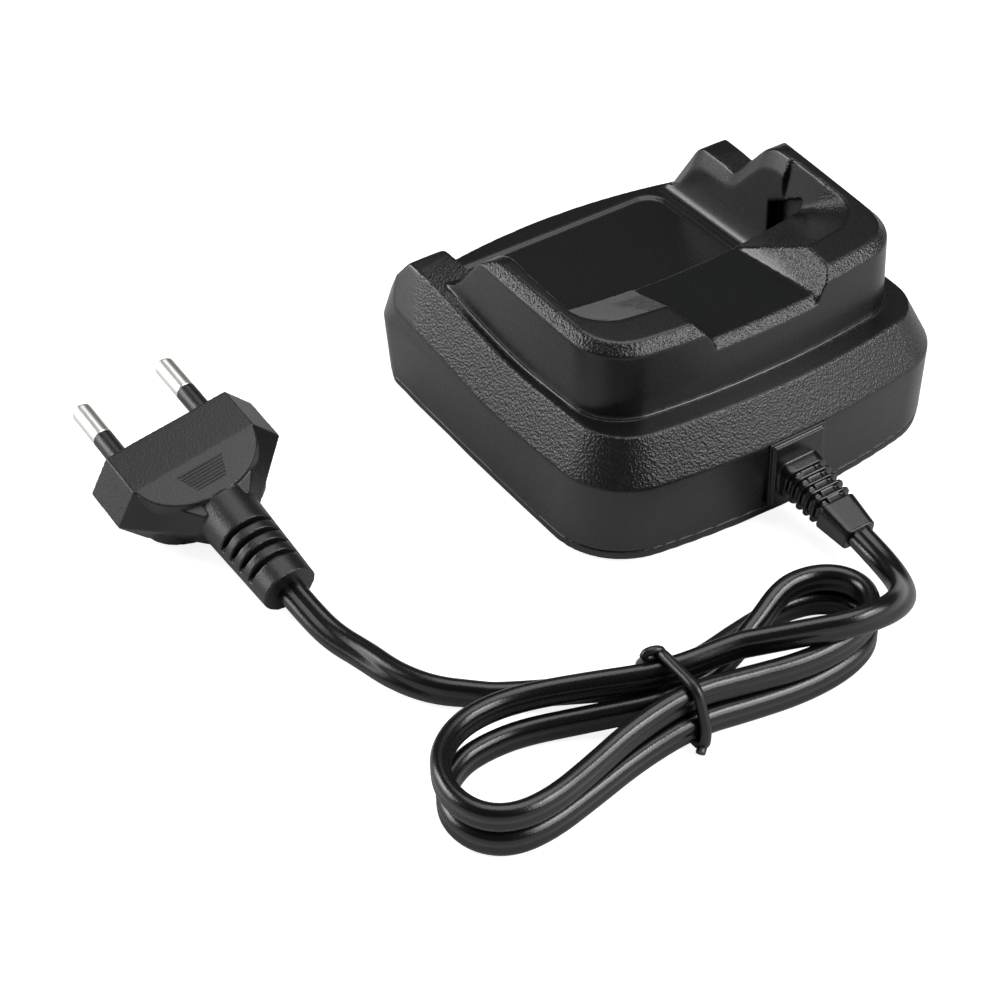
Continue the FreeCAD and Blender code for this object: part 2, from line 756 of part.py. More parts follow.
feet = []
for number, (x, y) in enumerate(foot_places()):
    foot = bound("Part::Cylinder", "foot_%d" % number, Radius="sizes.foot_radius",
                 Height="sizes.foot_gap + sizes.foot_recess")
    foot.Placement.Base = Vector(x, y, 0)
    feet.append(foot)
group("rubber_feet", feet)


def screw_shape(shank, head, head_height, length):
    """Pan-head screw standing on its tip, its head's top face at the origin and its tip along +Z."""
    head_disc = Part.makeCylinder(head, head_height)
    tip = Part.makeCone(shank, shank * 0.3, shank, Vector(0, 0, length - shank))
    body = Part.makeCylinder(shank, length - shank - head_height, Vector(0, 0, head_height))
    slot_length, slot_width = head * 1.3, head * 0.26
    solid = fuse([head_disc, body, tip])
    for turn in (0, 90):
        slot = box(-slot_length / 2, slot_length / 2, -slot_width / 2, slot_width / 2, 0, head_height * 0.5)
        slot.rotate(Vector(0, 0, 0), Vector(0, 0, 1), turn)
        solid = solid.cut(slot)
    return solid


def screws(label, places, z, downward, sizes):
    """One sub-part of equal screws, heads down or heads up."""
    solids = []
    for x, y in places:
        solid = screw_shape(*sizes)
        if downward:
            solid.rotate(Vector(0, 0, 0), Vector(1, 0, 0), 180)
        solid.translate(Vector(x, y, z))
        solids.append(solid)
    return add_shape(label, Part.makeCompound(solids))


head_seat = s.foot_gap + s.screw_head_seat
screws("case_screws", screw_places(), head_seat, False,
       (s.screw_shank_radius - s.thread_bite, s.screw_head_radius, s.screw_head_height, s.screw_length))

plate = bound("Part::Box", "plate_blank", Length="sizes.plate_width", Width="sizes.plate_depth",
              Height="sizes.plate_thickness")
plate.setExpression("Placement.Base.x", "-sizes.plate_width / 2")
plate.setExpression("Placement.Base.y", "-sizes.plate_depth / 2")
plate.setExpression("Placement.Base.z", "sizes.foot_gap")
keep(plate, "rating_plate")

# Circuit board: a padded sketch with four round holes

board = doc.addObject("PartDesign::Body", "board")
board_plane = [f for f in board.Origin.OriginFeatures if f.Role == "XY_Plane"][0]
sketch = board.newObject("Sketcher::SketchObject", "board_outline")
sketch.AttachmentSupport = [(board_plane, "")]
sketch.MapMode = "FlatFace"
corners = [(-s.board_width / 2, -s.board_front), (s.board_width / 2, -s.board_front),
           (s.board_width / 2, s.board_rear), (-s.board_width / 2, s.board_rear)]
for i in range(4):
    a, b = corners[i], corners[(i + 1) % 4]
    sketch.addGeometry(Part.LineSegment(Vector(*a, 0), Vector(*b, 0)), False)
for x, y in board_bosses():
    sketch.addGeometry(Part.Circle(Vector(x, y, 0), Vector(0, 0, 1), s.board_screw_radius + s.fit_gap), False)
pad = board.newObject("PartDesign::Pad", "board_pad")
pad.Profile = sketch
pad.setExpression("Length", "sizes.board_thickness")
board.setExpression("Placement.Base.z", "sizes.board_bottom")
keep(board, "circuit_board")

board_top = s.board_bottom + s.board_thickness
board_head_height = s.board_screw_head * 0.5
screws("board_screws", board_bosses(), board_top + board_head_height, True,
       (s.board_screw_radius - s.thread_bite, s.board_screw_head, board_head_height, s.board_screw_length))

# Parts on the board

leg = s.core_width / 5
core = box(-s.core_width / 2, s.core_width / 2, -s.core_depth / 2, s.core_depth / 2, 0, s.core_height)
window_low = (s.core_height - s.bobbin_height) / 2
for side in (-1, 1):
    a, b = sorted((side * leg / 2, side * (s.core_width / 2 - leg / 2)))
    core = core.cut(box(a, b, -s.core_depth, s.core_depth, window_low, s.core_height - window_low))
core.translate(Vector(s.core_side, s.core_place, board_top + s.core_lift))
add_shape("transformer_core", core)

limb = leg / 2 + 0.1
bobbin = Part.makeCylinder(s.bobbin_radius - 0.4, s.bobbin_height - 0.2)
flange = Part.makeCylinder(s.bobbin_radius, 0.8)
upper = flange.copy()
upper.translate(Vector(0, 0, s.bobbin_height - 1.0))
bobbin = fuse([bobbin, flange, upper])
bobbin = bobbin.cut(box(-limb, limb, -s.core_depth / 2 - 0.1, s.core_depth / 2 + 0.1, -1, 20))
room = s.core_width / 2 - leg / 2 - 0.1
bobbin = bobbin.common(box(-room, room, -9, 9, 0, 20))
bobbin.translate(Vector(s.core_side, s.core_place, board_top + s.core_lift + window_low + 0.1))
add_shape("transformer_winding", bobbin)


def standing_can(label, radius, height, place):
    """Round can that stands on the board."""
    can = bound("Part::Cylinder", label + "_can", Radius="sizes." + radius, Height="sizes." + height)
    can.Placement.Base = Vector(place[0], place[1], board_top)
    return keep(can, label)


standing_can("mains_capacitor", "big_capacitor_radius", "big_capacitor_height",
             (s.big_capacitor_side, s.big_capacitor_place))
standing_can("output_capacitor", "small_capacitor_radius", "small_capacitor_height",
             (s.small_capacitor_side, s.small_capacitor_place))


def lying_rods(label, radius, length, places, along_x=True):
    """Small round parts that lie on the board."""
    rods = []
    for number, (x, y) in enumerate(places):
        rod = bound("Part::Cylinder", "%s_%d" % (label, number), Radius="sizes." + radius,
                    Height="sizes." + length)
        axis = Vector(1, 0, 0) if along_x else Vector(0, 1, 0)
        rod.Placement = FreeCAD.Placement(Vector(x, y, board_top + getattr(s, radius)),
                                          FreeCAD.Rotation(Vector(0, 0, 1), axis))
        rods.append(rod)
    return group(label, rods)


lying_rods("fuse", "fuse_radius", "fuse_length", [(s.fuse_side, s.fuse_place)])
lying_rods("rectifier_diodes", "diode_radius", "diode_length", 
           [(s.diode_side, s.diode_place - s.diode_pitch * i) for i in range(4)])

chip = bound("Part::Box", "chip_blank", Length="sizes.chip_width", Width="sizes.chip_depth",
             Height="sizes.chip_height")
chip.Placement.Base = Vector(s.chip_side, s.chip_place, board_top)
keep(chip, "control_chip")

# Indicator lamp with its light pipe through the front wall

led = bound("Part::Box", "led_blank", Length="sizes.led_width", Width="sizes.led_width",
            Height="sizes.led_width")
led.Placement.Base = Vector(-s.led_width / 2, -s.board_front + 0.5, board_top)
keep(led, "indicator_lamp")
pipe_start = -s.case_front - 0.1
pipe_end = -s.board_front - 1.0
light = Part.makeCylinder(s.light_radius, pipe_end - pipe_start,
                          Vector(0, pipe_start, s.light_height), Vector(0, 1, 0))
collar_start = Vector(0, -s.case_front + s.shell + 0.6, s.light_height)
light_collar = Part.makeCylinder(s.light_radius + 0.8, 1.0, collar_start, Vector(0, 1, 0))
add_shape("light_pipe", fuse([light, light_collar]))

# Sprung contacts in a block behind the pocket's back face

block_front = s.pocket_back + s.pocket_wall + s.fit_gap
collar_front = block_front + s.block_skin
spring_front = collar_front + s.collar_length
spring_rear = block_front + s.block_depth - s.block_end
block = box(-s.block_width / 2, s.block_width / 2, block_front, block_front + s.block_depth,
            s.contact_height - s.block_height / 2, s.contact_height + s.block_height / 2)
for x in (-s.contact_side, s.contact_side):
    for start, end, radius in (
            (block_front - 1, collar_front + 0.1, s.contact_radius + s.contact_fit),
            (collar_front, spring_rear, s.contact_collar + s.contact_fit),
            (spring_rear - 0.1, block_front + 20, s.terminal_radius)):
        bore_start = Vector(x, start, s.contact_height)
        block = block.cut(Part.makeCylinder(radius, end - start, bore_start, Vector(0, 1, 0)))
add_shape("contact_block", block.removeSplitter())


def coil(radius, wire, length, turns):
    """Coil spring along +Z made of quarter-turn arcs, with its ends cut square."""
    steps = int(turns) * 4
    edges = []
    rise = (length - 2 * wire) / steps

    def at(k):
        a = k * math.pi / 2
        return Vector(radius * math.cos(a), radius * math.sin(a), wire + k * rise)

    for k in range(steps):
        edges.append(arc(at(k), at(k + 0.5), at(k + 1)))
    ring = Part.Wire([Part.Circle(at(0), Vector(0, 1, 0), wire).toShape()])
    return Part.Wire(edges).makePipeShell([ring], True, False)


for name, x in (("left", -s.contact_side), ("right", s.contact_side)):
    tip = s.pocket_back - s.contact_stand_out
    inward = Vector(0, 1, 0)
    stem_start = Vector(x, tip + s.pin_dome, s.contact_height)
    stem = Part.makeCylinder(s.contact_radius, collar_front - stem_start.y, stem_start, inward)
    dome_start = Vector(x, tip, s.contact_height)
    dome = Part.makeCone(s.contact_radius * 0.6, s.contact_radius, s.pin_dome, dome_start, inward)
    collar_start = Vector(x, collar_front, s.contact_height)
    collar = Part.makeCylinder(s.contact_collar, spring_front - collar_front, collar_start, inward)
    add_shape(name + "_contact_pin", fuse([dome, stem, collar]))
    spring = coil(s.spring_coil, s.spring_wire, spring_rear - spring_front, s.spring_turns)
    turned = FreeCAD.Placement(Vector(x, spring_front, s.contact_height),
                               FreeCAD.Rotation(Vector(0, 0, 1), inward))
    add_shape(name + "_contact_spring", spring, turned)

terminals = []
for number, x in enumerate((-s.contact_side, s.contact_side)):
    terminal = bound("Part::Cylinder", "terminal_%d" % number, Radius="sizes.terminal_radius",
                     Height="sizes.terminal_length")
    terminal.Placement = FreeCAD.Placement(Vector(x, spring_rear, s.contact_height),
                                           FreeCAD.Rotation(Vector(0, 0, 1), Vector(0, 1, 0)))
    terminals.append(terminal)
group("contact_terminals", terminals)

# Tubes along a route: straight runs joined by tangent arcs


def tube(points, radius, label):
    """Round tube along the route; every corner's arc is as large as its two runs allow."""
    edges = []
    last = points[0]
    least = None
    for a, p, b in zip(points, points[1:], points[2:]):
        back, on = (a - p), (b - p)
        turn = math.pi - back.getAngle(on)
        reach = 0.45 * min(back.Length, on.Length)
        bend = reach / math.tan(turn / 2)
        least = bend if least is None else min(least, bend)
        start = p + back.normalize() * reach
        end = p + on.normalize() * reach
        toward = (back + on).normalize()
        middle = p + toward * (bend / math.cos(turn / 2) - bend)
        edges.append(Part.LineSegment(last, start).toShape())
        edges.append(arc(start, middle, end))
        last = end
    edges.append(Part.LineSegment(last, points[-1]).toShape())
    path = Part.Wire(edges)
    ring = Part.Wire([Part.Circle(points[0], points[1] - points[0], radius).toShape()])
    solid = path.makePipeShell([ring], True, False)
    share = solid.Volume / (math.pi * radius * radius * path.Length)
    print("%s: length %.1f, least bend radius %.1f, volume / (section x length) %.4f"
          % (label, path.Length, least or 0, share))
    return solid


def vectors(points):
    return [Vector(*p) for p in points]


# Strain relief on the back wall, its boot drooping towards the table

relief_face = s.case_back - 0.3
drop = math.radians(s.relief_drop)
along = Vector(0, math.cos(drop), -math.sin(drop))
upward = Vector(0, math.sin(drop), math.cos(drop))
across = Vector(1, 0, 0)
boot_start = Vector(0, relief_face + s.relief_plate - 0.3, s.relief_exit)
boot_end = boot_start + along * s.relief_length


def boot_section(distance, grow):
    """Rounded rectangle square to the boot's line, at a distance from its root."""
    k = distance / s.relief_length
    w = (s.relief_root_width + (s.relief_tip_width - s.relief_root_width) * k) / 2 + grow
    v = (s.relief_root_height + (s.relief_tip_height - s.relief_root_height) * k) / 2 + grow
    r = min(w, v) * 0.6
    c = boot_start + along * distance
    m = r * (1 - math.sqrt(0.5))

    def at(p, q):
        return c + across * p + upward * q

    edges = []
    for i, j in ((1, 1), (-1, 1), (-1, -1), (1, -1)):
        a, b = at(i * w, j * (v - r)), at(i * (w - r), j * v)
        mid = at(i * (w - m), j * (v - m))
        if i * j < 0:
            a, b = b, a
        edges.append((a, mid, b))
    path = []
    for i in range(4):
        path.append(arc(*edges[i]))
        path.append(Part.LineSegment(edges[i][2], edges[(i + 1) % 4][0]).toShape())
    return Part.Wire(path)


def strain_relief():
    half = s.relief_width / 2
    plate_block = box(-half, half, relief_face - 1.0, relief_face + s.relief_plate,
                      s.relief_low, s.relief_high)
    wall = between(base_outline(s.parting_height), shoulder_outline(s.shoulder_height))
    plate_block = plate_block.cut(wall)
    neck_half = s.relief_neck / 2
    inner = s.case_back - s.shell - s.relief_stop_gap
    neck = box(-neck_half, neck_half, inner, relief_face + 0.5,
               s.relief_exit - neck_half, s.relief_exit + neck_half)
    stop = box(-neck_half - 1.4, neck_half + 1.4, inner - s.relief_stop_depth, inner + 0.2,
               s.relief_exit - neck_half + 0.4, s.relief_exit + neck_half + 1.4)
    core = between(boot_section(0, -0.9), boot_section(s.relief_length, -0.9))
    collar_end = s.relief_length * s.relief_collar_share
    block_start = s.relief_length * (1 - s.relief_block_share)
    collar = between(boot_section(0, 0), boot_section(collar_end, 0))
    block = between(boot_section(block_start, 0), boot_section(s.relief_length, -0.3))
    solids = [plate_block, neck, stop, core, collar, block]
    count = int(s.relief_ribs)
    rib = (block_start - collar_end) / (count + (count + 1) / s.relief_rib_share)
    gap = rib / s.relief_rib_share
    for i in range(count):
        start = collar_end + gap + (rib + gap) * i
        solids.append(between(boot_section(start, 0), boot_section(start + rib, 0)))
    bridge = box(-s.relief_tip_width * 0.2, s.relief_tip_width * 0.2, 0, block_start + 0.5,
                 -s.relief_tip_height / 2 - 0.1, s.relief_tip_height / 2 + 0.1)
    bridge.Placement = FreeCAD.Placement(boot_start, FreeCAD.Rotation(Vector(1, 0, 0), -s.relief_drop))
    solids.append(bridge)
    return fuse(solids)


add_shape("strain_relief", strain_relief())

# Bar that clamps the wires inside, on two posts of the bottom cover

clamp = box(-s.clamp_length / 2, s.clamp_length / 2, s.clamp_place - s.clamp_depth / 2,
            s.clamp_place + s.clamp_depth / 2, clamp_low(), clamp_low() + s.clamp_thickness)
for x in (-s.clamp_post_side, s.clamp_post_side):
    pin_room = s.clamp_pin_radius + s.fit_gap
    clamp = clamp.cut(upright_rod(pin_room, s.clamp_thickness, x, s.clamp_place, clamp_low()))
add_shape("cord_clamp", clamp)

# Wires from the cord to the board, and from the contacts' terminals down to the board

wire_start = s.case_back - s.shell - s.relief_stop_gap - s.relief_stop_depth
wire_rise = s.wire_radius * 2.4
mains = []
for side in (-1, 1):
    wire_end = (side * s.wire_side * 2.2, wire_start - s.wire_run)
    mains.append(tube(vectors([
        (side * s.wire_side, wire_start, s.relief_exit),
        (side * s.wire_side, wire_start - s.wire_run * 0.58, s.relief_exit),
        (side * s.wire_side * 1.67, wire_start - s.wire_run * 0.82, s.relief_exit + wire_rise),
        (*wire_end, s.relief_exit + wire_rise * 0.66),
        (*wire_end, board_top),
    ]), s.wire_radius, "mains wire"))
add_shape("mains_wires", Part.makeCompound(mains))
lead_start = spring_rear + s.terminal_length
fall = s.contact_height - board_top
LEAD_SHAPE = [(1.0, 0.0, 0.0), (1.0, 0.6, 0.0), (0.71, 1.23, 0.1), (0.46, 1.33, 0.32),
              (0.38, 0.9, 0.55), (0.37, 0.27, 0.77), (0.37, 0.27, 1.0)]
leads = []
for side in (-1, 1):
    points = [(side * s.contact_side * aside,
               lead_start + s.terminal_length * behind,
               s.contact_height - fall * below) for aside, behind, below in LEAD_SHAPE]
    leads.append(tube(vectors(points), s.wire_radius * 0.8, "contact wire"))
add_shape("contact_wires", Part.makeCompound(leads))

# Cord: feed, hank with its tie, and lead to the plug

half_cord = s.cord_diameter / 2
groove_rise = math.sqrt(s.hank_pitch ** 2 - (s.hank_pitch / 2) ** 2)


def blend(a, b, k):
    """Smooth step from a to b while k goes from 0 to 1."""
    k = min(max(k, 0.0), 1.0)
    return a + (b - a) * (3 * k * k - 2 * k * k * k)


def hank_line(angle):
    """Plan place of the pile's middle; 90 degrees is the waist's far side, 180 the left end."""
    c = math.cos(math.radians(angle))
    u = abs(c)
    left = c < 0
    x = s.hank_middle - (s.hank_left_reach if left else s.hank_right_reach) * c
    bulge = s.hank_left_bulge if left else s.hank_right_bulge
    reach = s.hank_waist + bulge * u ** 1.3
    sway = s.hank_left_sway * math.sin(math.pi * u) if left else 0.0
    y = s.hank_waist_place - s.hank_lean * u - sway - reach * math.sin(math.radians(angle))
    return Vector(x, y, 0)


def hank_point(angle):
    """Centre of the cord in the hank; the angle grows by 360 degrees for each turn."""
    here = hank_line(angle)
    along = hank_line(angle + 1) - hank_line(angle - 1)
    inward = Vector(-along.y, along.x, 0).normalize()
    pitch = s.hank_pitch
    side, top = 0.0, 0.0
    if angle < 180:
        side = blend(pitch / 2, 0.0, (angle - 130) / 50)
        top = blend(groove_rise, pitch, (angle - 120) / 60)
    elif angle < 270:
        side = blend(0.0, pitch / 2, (angle - 225) / 45)
        top = blend(pitch, groove_rise, (angle - 225) / 45)
    elif angle < 395:
        side = blend(pitch / 2, 0.0, (angle - 270) / 45)
        top = blend(groove_rise, pitch, (angle - 270) / 45)
    elif angle < 540:
        fall = blend(0.0, math.pi / 2, (angle - 395) / 45)
        away = pitch * blend(1.0, 1.1, math.sin(2 * fall))
        side = away * math.sin(fall) + blend(0.0, s.hank_spread / 2, (angle - 450) / 20)
        side = side * blend(1.0, 0.0, (angle - 490) / 50)
        top = away * math.cos(fall)
    elif angle > 790:
        side = -blend(0.0, s.hank_spread, (angle - 790) / 50)
    u = abs(math.cos(math.radians(angle)))
    lift = s.hank_lift * max(0.0, 1 - (u / 0.4) ** 2) ** 2
    return here + inward * side + Vector(0, 0, half_cord + s.hank_floor_gap + top + lift)


def corner_arc(start, corner, end):
    """Arc tangent to both lines of a corner whose two arms are equally long."""
    back, on = start - corner, end - corner
    turn = math.pi - back.getAngle(on)
    if turn < 1e-4:
        return Part.LineSegment(start, end).toShape()
    bend = back.Length / math.tan(turn / 2)
    toward = (back.normalize() + on.normalize()).normalize()
    return arc(start, corner + toward * (bend / math.cos(turn / 2) - bend), end)


def smooth_path(points):
    """Straight end runs, and between them two tangent arcs for each pair of points."""
    count = len(points)
    headings = [None] * count
    for i in range(2, count - 2):
        headings[i] = (points[i + 1] - points[i - 1]).normalize()
    headings[1] = (points[1] - points[0]).normalize()
    headings[-2] = (points[-1] - points[-2]).normalize()
    edges = [Part.LineSegment(points[0], points[1]).toShape()]
    for i in range(1, count - 2):
        p, q = points[i], points[i + 1]
        t, w = headings[i], headings[i + 1]
        v = q - p
        spread = 2 * (1 - t.dot(w))
        lead = v.dot(t + w)
        if spread < 1e-9:
            arm = v.dot(v) / (2 * lead)
        else:
            arm = (math.sqrt(lead * lead + spread * v.dot(v)) - lead) / spread
        first, second = p + t * arm, q - w * arm
        joint = (first + second) * 0.5
        edges.append(corner_arc(p, first, joint))
        edges.append(corner_arc(joint, second, q))
    edges.append(Part.LineSegment(points[-2], points[-1]).toShape())
    return Part.Wire(edges)


def least_gap(path, diameter):
    """Least gap between the surfaces of strands that lie more than three diameters apart along the cord."""
    step = 1.0
    count = int(path.Length / step)
    marks = path.discretize(count)
    apart = int(3 * diameter / (path.Length / count))
    best = None
    for i in range(count):
        for j in range(i + apart, count):
            d = marks[i].distanceToPoint(marks[j])
            if best is None or d < best:
                best = d
    return best - diameter


HANK_STEP = 15
HANK_FIRST = 90
HANK_LAST = 825

FEED = [boot_end, boot_end + along * 6.4] + vectors([
    (2.4, 73.2, 6.0), (6.9, 79.0, 9.0), (13.5, 82.6, 11.9),
    (21.0, 82.4, 12.4), (28.2, 78.2, 10.7), (35.4, 74.3, 9.5)])
LEAD = vectors([
    (75.0, 51.0, 2.1), (80.6, 45.9, 2.1), (84.0, 39.0, 2.1), (85.5, 31.5, 2.1), (87.5, 24.8, 2.1)])

# Plug: its line heads for the pins, turned, tipped up and rolled where it lies
PLUG_FACE = Vector(90.2, -28.2, 10.8)
PLUG_TURN = FreeCAD.Rotation(-87.8, -9.0, -8.9)
pin_heading = PLUG_TURN.multVec(Vector(1, 0, 0))
plug_tail = PLUG_FACE - pin_heading * s.plug_length
LEAD += [plug_tail - pin_heading * 6.6, plug_tail]

enter = (FEED[-1] - FEED[-2]).normalize() * s.cord_diameter
leave = (LEAD[1] - LEAD[0]).normalize() * s.cord_diameter
hank_way = [FEED[-1], FEED[-1] + enter]
hank_way += [hank_point(angle) for angle in range(HANK_FIRST, HANK_LAST + 1, HANK_STEP)]
hank_way += [LEAD[0] - leave, LEAD[0]]
hank_path = smooth_path(hank_way)
ring = Part.Wire([Part.Circle(hank_way[0], hank_way[1] - hank_way[0], half_cord).toShape()])
hank = hank_path.makePipeShell([ring], True, False)
print("hank: length %.1f, least gap to itself %.2f, volume / (section x length) %.4f" % (
    hank_path.Length, least_gap(hank_path, s.cord_diameter),
    hank.Volume / (math.pi * half_cord ** 2 * hank_path.Length)))
add_shape("cord_feed", tube(FEED, half_cord, "cord feed"))
add_shape("cord_hank", hank)
add_shape("cord_plug_lead", tube(LEAD, half_cord, "plug lead"))


def tie():
    """Closed band round the hank's waist, a named gap clear of the cords that pass through it."""
    r = s.tie_diameter / 2
    passes = [p for p in hank_path.discretize(900) if abs(p.x - s.hank_middle) < s.cord_diameter / 2]
    clear = half_cord + s.tie_gap + r
    y0 = min(p.y for p in passes) - clear
    y1 = max(p.y for p in passes) + clear
    low = r + 0.03
    high = max(p.z for p in passes) + clear
    k = half_cord
    m = k * (1 - math.sqrt(0.5))
    x = s.hank_middle
    corners = [(y0, low, 1, 1), (y1, low, -1, 1), (y1, high, -1, -1), (y0, high, 1, -1)]
    arcs = []
    for y, z, i, j in corners:
        a, b = Vector(x, y, z + j * k), Vector(x, y + i * k, z)
        if i * j < 0:
            a, b = b, a
        arcs.append((a, Vector(x, y + i * m, z + j * m), b))
    edges = []
    for i in range(4):
        edges.append(arc(*arcs[i]))
        edges.append(Part.LineSegment(arcs[i][2], arcs[(i + 1) % 4][0]).toShape())
    start = edges[-1].valueAt((edges[-1].FirstParameter + edges[-1].LastParameter) / 2)
    ring = Part.Wire([Part.Circle(start, Vector(0, 0, 1), r).toShape()])
    half_run = [Part.LineSegment(start, arcs[0][0]).toShape()] + edges[:-1]
    half_run.append(Part.LineSegment(arcs[3][2], start).toShape())
    band = Part.Wire(half_run).makePipeShell([ring], True, False)
    return band


add_shape("cord_tie", tie())

# Plug with its pins along +X of its own frame


def hexagon(x, half_width, face_half_width, half_height):
    """Flattened hexagon across the plug's line."""
    points = [(face_half_width, half_height), (half_width, 0), (face_half_width, -half_height),
              (-face_half_width, -half_height), (-half_width, 0), (-face_half_width, half_height)]
    return Part.makePolygon([Vector(x, y, z) for y, z in points + points[:1]])


def oval(x, half_width, half_height):
    """Ellipse-like section of four arcs, written as a stretched round."""
    y, z = half_width, half_height
    k = math.sqrt(0.5)
    points = [(y, 0), (y * k, z * k), (0, z), (-y * k, z * k),
              (-y, 0), (-y * k, -z * k), (0, -z), (y * k, -z * k)]
    marks = [Vector(x, a, b) for a, b in points]
    edges = [arc(marks[i], marks[(i + 1) % 8], marks[(i + 2) % 8]) for i in (0, 2, 4, 6)]
    return Part.Wire(edges)


def plug_tongue():
    """Raised tongue on both broad sides: a half ellipse in plan, its faces falling to its end."""
    start = -s.plug_block + 0.5
    end = -s.plug_block - s.tongue_length
    middle = Vector(start, 0, -s.plug_half_height)
    half = s.plug_face_half_width - s.tongue_inset
    curve = Part.Ellipse(middle + Vector(0, half, 0), Vector(end, 0, middle.z), middle)
    rim = Part.ArcOfEllipse(curve, 0, math.pi).toShape()
    chord = Part.LineSegment(rim.Vertexes[-1].Point, rim.Vertexes[0].Point).toShape()
    column = Part.Face(Part.Wire([rim, chord])).extrude(Vector(0, 0, 2 * s.plug_half_height))
    high, low = s.plug_half_height, s.tongue_end_half_height
    points = [(start, high), (-s.plug_block, high), (end, low)]
    points += [(x, -z) for x, z in reversed(points)]
    side = Part.makePolygon([Vector(x, -s.plug_half_width, z) for x, z in points + points[:1]])
    return column.common(Part.Face(side).extrude(Vector(0, 2 * s.plug_half_width, 0)))


def plug_shell():
    ratio = s.plug_face_half_width / s.plug_half_width
    block_end = -s.plug_block
    neck = -s.plug_neck
    face = hexagon(0, s.plug_half_width, s.plug_face_half_width, s.plug_half_height)
    back = hexagon(block_end, s.plug_half_width, s.plug_face_half_width, s.plug_half_height)
    fall = (s.plug_flank - s.plug_block) / (s.plug_neck - s.plug_block)
    flank_half = s.plug_half_width + (s.plug_neck_half_width - s.plug_half_width) * fall
    flank = hexagon(-s.plug_flank, flank_half, flank_half * ratio, s.plug_flank_half_height)
    small = hexagon(neck, s.plug_neck_half_width, s.plug_neck_half_width * ratio, s.plug_waist_half_height)
    sleeve_start = neck + 2.0
    sleeve = between(oval(sleeve_start, s.plug_neck_half_width - 0.6, s.plug_neck_half_height - 0.3),
                     oval(-s.plug_length, s.plug_tail_half_width, s.plug_tail_half_height))
    throat = (s.plug_tail_half_width * 0.72, s.plug_tail_half_height * 0.72)
    for i in range(4):
        x = neck - s.plug_slot_start - i * s.plug_slot_pitch
        for side in (-1, 1):
            near, far = sorted((side * s.plug_tail_half_height * 0.3, side * 20.0))
            slot = box(x - s.plug_slot, x, -20, 20, near, far)
            sleeve = sleeve.cut(slot.cut(between(oval(x + 1, *throat), oval(x - 3, *throat))))
    flanks = Part.makeLoft([small, flank, back], True, True)
    return fuse([between(back, face), flanks, plug_tongue(), sleeve])


plug_place = FreeCAD.Placement(PLUG_FACE, PLUG_TURN)
plug_solid = plug_shell()
pins = []
sleeves = []
for side in (-1, 1):
    y = side * s.pin_spacing / 2
    toward = Vector(1, 0, 0)
    core = Part.makeCylinder(s.pin_core_radius, s.pin_root + s.pin_sleeve, Vector(-s.pin_root, y, 0), toward)
    bare_length = s.pin_length - s.pin_sleeve - s.pin_tip_length
    bare = Part.makeCylinder(s.pin_radius, bare_length, Vector(s.pin_sleeve, y, 0), toward)
    tip_start = Vector(s.pin_length - s.pin_tip_length, y, 0)
    tip = Part.makeCone(s.pin_radius, s.pin_radius * 0.55, s.pin_tip_length, tip_start, toward)
    pins.append(fuse([core, bare, tip]))
    collar_start = Vector(-s.pin_collar_depth, y, 0)
    cover = fuse([Part.makeCylinder(s.pin_radius, s.pin_sleeve, Vector(0, y, 0), toward),
                  Part.makeCylinder(s.pin_collar_radius, s.pin_collar_depth, collar_start, toward)])
    hole_length = s.pin_sleeve + s.pin_collar_depth
    sleeves.append(cover.cut(Part.makeCylinder(s.pin_core_radius, hole_length, collar_start, toward)))
    root_room = Part.makeCylinder(s.pin_core_radius, s.pin_root, Vector(-s.pin_root, y, 0), toward)
    plug_solid = plug_solid.cut(root_room)
    collar_room = Part.makeCylinder(s.pin_collar_radius, s.pin_collar_depth, collar_start, toward)
    plug_solid = plug_solid.cut(collar_room)
add_shape("plug_body", plug_solid, plug_place)
add_shape("plug_pins", Part.makeCompound(pins), plug_place)
add_shape("plug_pin_sleeves", Part.makeCompound(sleeves), plug_place)

doc.recompute()

faults = []
for feature in doc.Objects:
    if "Invalid" in feature.State or "Error" in feature.State:
        faults.append("%s is %s" % (feature.Name, feature.State))
for feature in parts:
    if feature.Shape.isNull() or not feature.Shape.isValid():
        faults.append("%s has no valid shape" % feature.Label)
if faults:
    raise SystemExit("\n".join(faults))

os.makedirs("parts", exist_ok=True)
for feature in parts:
    feature.Shape.exportStep("parts/%s.step" % feature.Label)
print("%d sub-parts written" % len(parts))
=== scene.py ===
# %% [markdown]
# # A desk charger for a handheld radio
# The imported CAD model is the frame: every piece here is placed in its coordinates, in metres.
# +Z is up, the charger's low front edge is towards -Y and its cord leaves towards +Y.
# We load the frame first and keep its nodes and its record.

# %% Load the frame
import json
import math

import bmesh
import bpy
from mathutils import Euler, Matrix, Vector
from mathutils.bvhtree import BVHTree


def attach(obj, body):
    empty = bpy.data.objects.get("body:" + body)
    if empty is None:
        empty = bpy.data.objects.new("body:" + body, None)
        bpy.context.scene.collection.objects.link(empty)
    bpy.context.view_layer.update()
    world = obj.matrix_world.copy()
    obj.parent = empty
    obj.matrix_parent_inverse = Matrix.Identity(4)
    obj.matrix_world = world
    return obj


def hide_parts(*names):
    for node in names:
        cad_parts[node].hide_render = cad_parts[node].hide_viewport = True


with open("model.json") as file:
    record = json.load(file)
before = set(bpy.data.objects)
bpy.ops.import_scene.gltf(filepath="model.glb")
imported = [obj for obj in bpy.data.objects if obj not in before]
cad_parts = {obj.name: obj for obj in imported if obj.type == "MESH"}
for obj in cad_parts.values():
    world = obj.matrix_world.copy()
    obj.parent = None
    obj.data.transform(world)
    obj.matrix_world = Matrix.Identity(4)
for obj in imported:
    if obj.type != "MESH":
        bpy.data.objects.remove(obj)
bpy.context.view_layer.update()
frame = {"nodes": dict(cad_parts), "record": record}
MM = 0.001

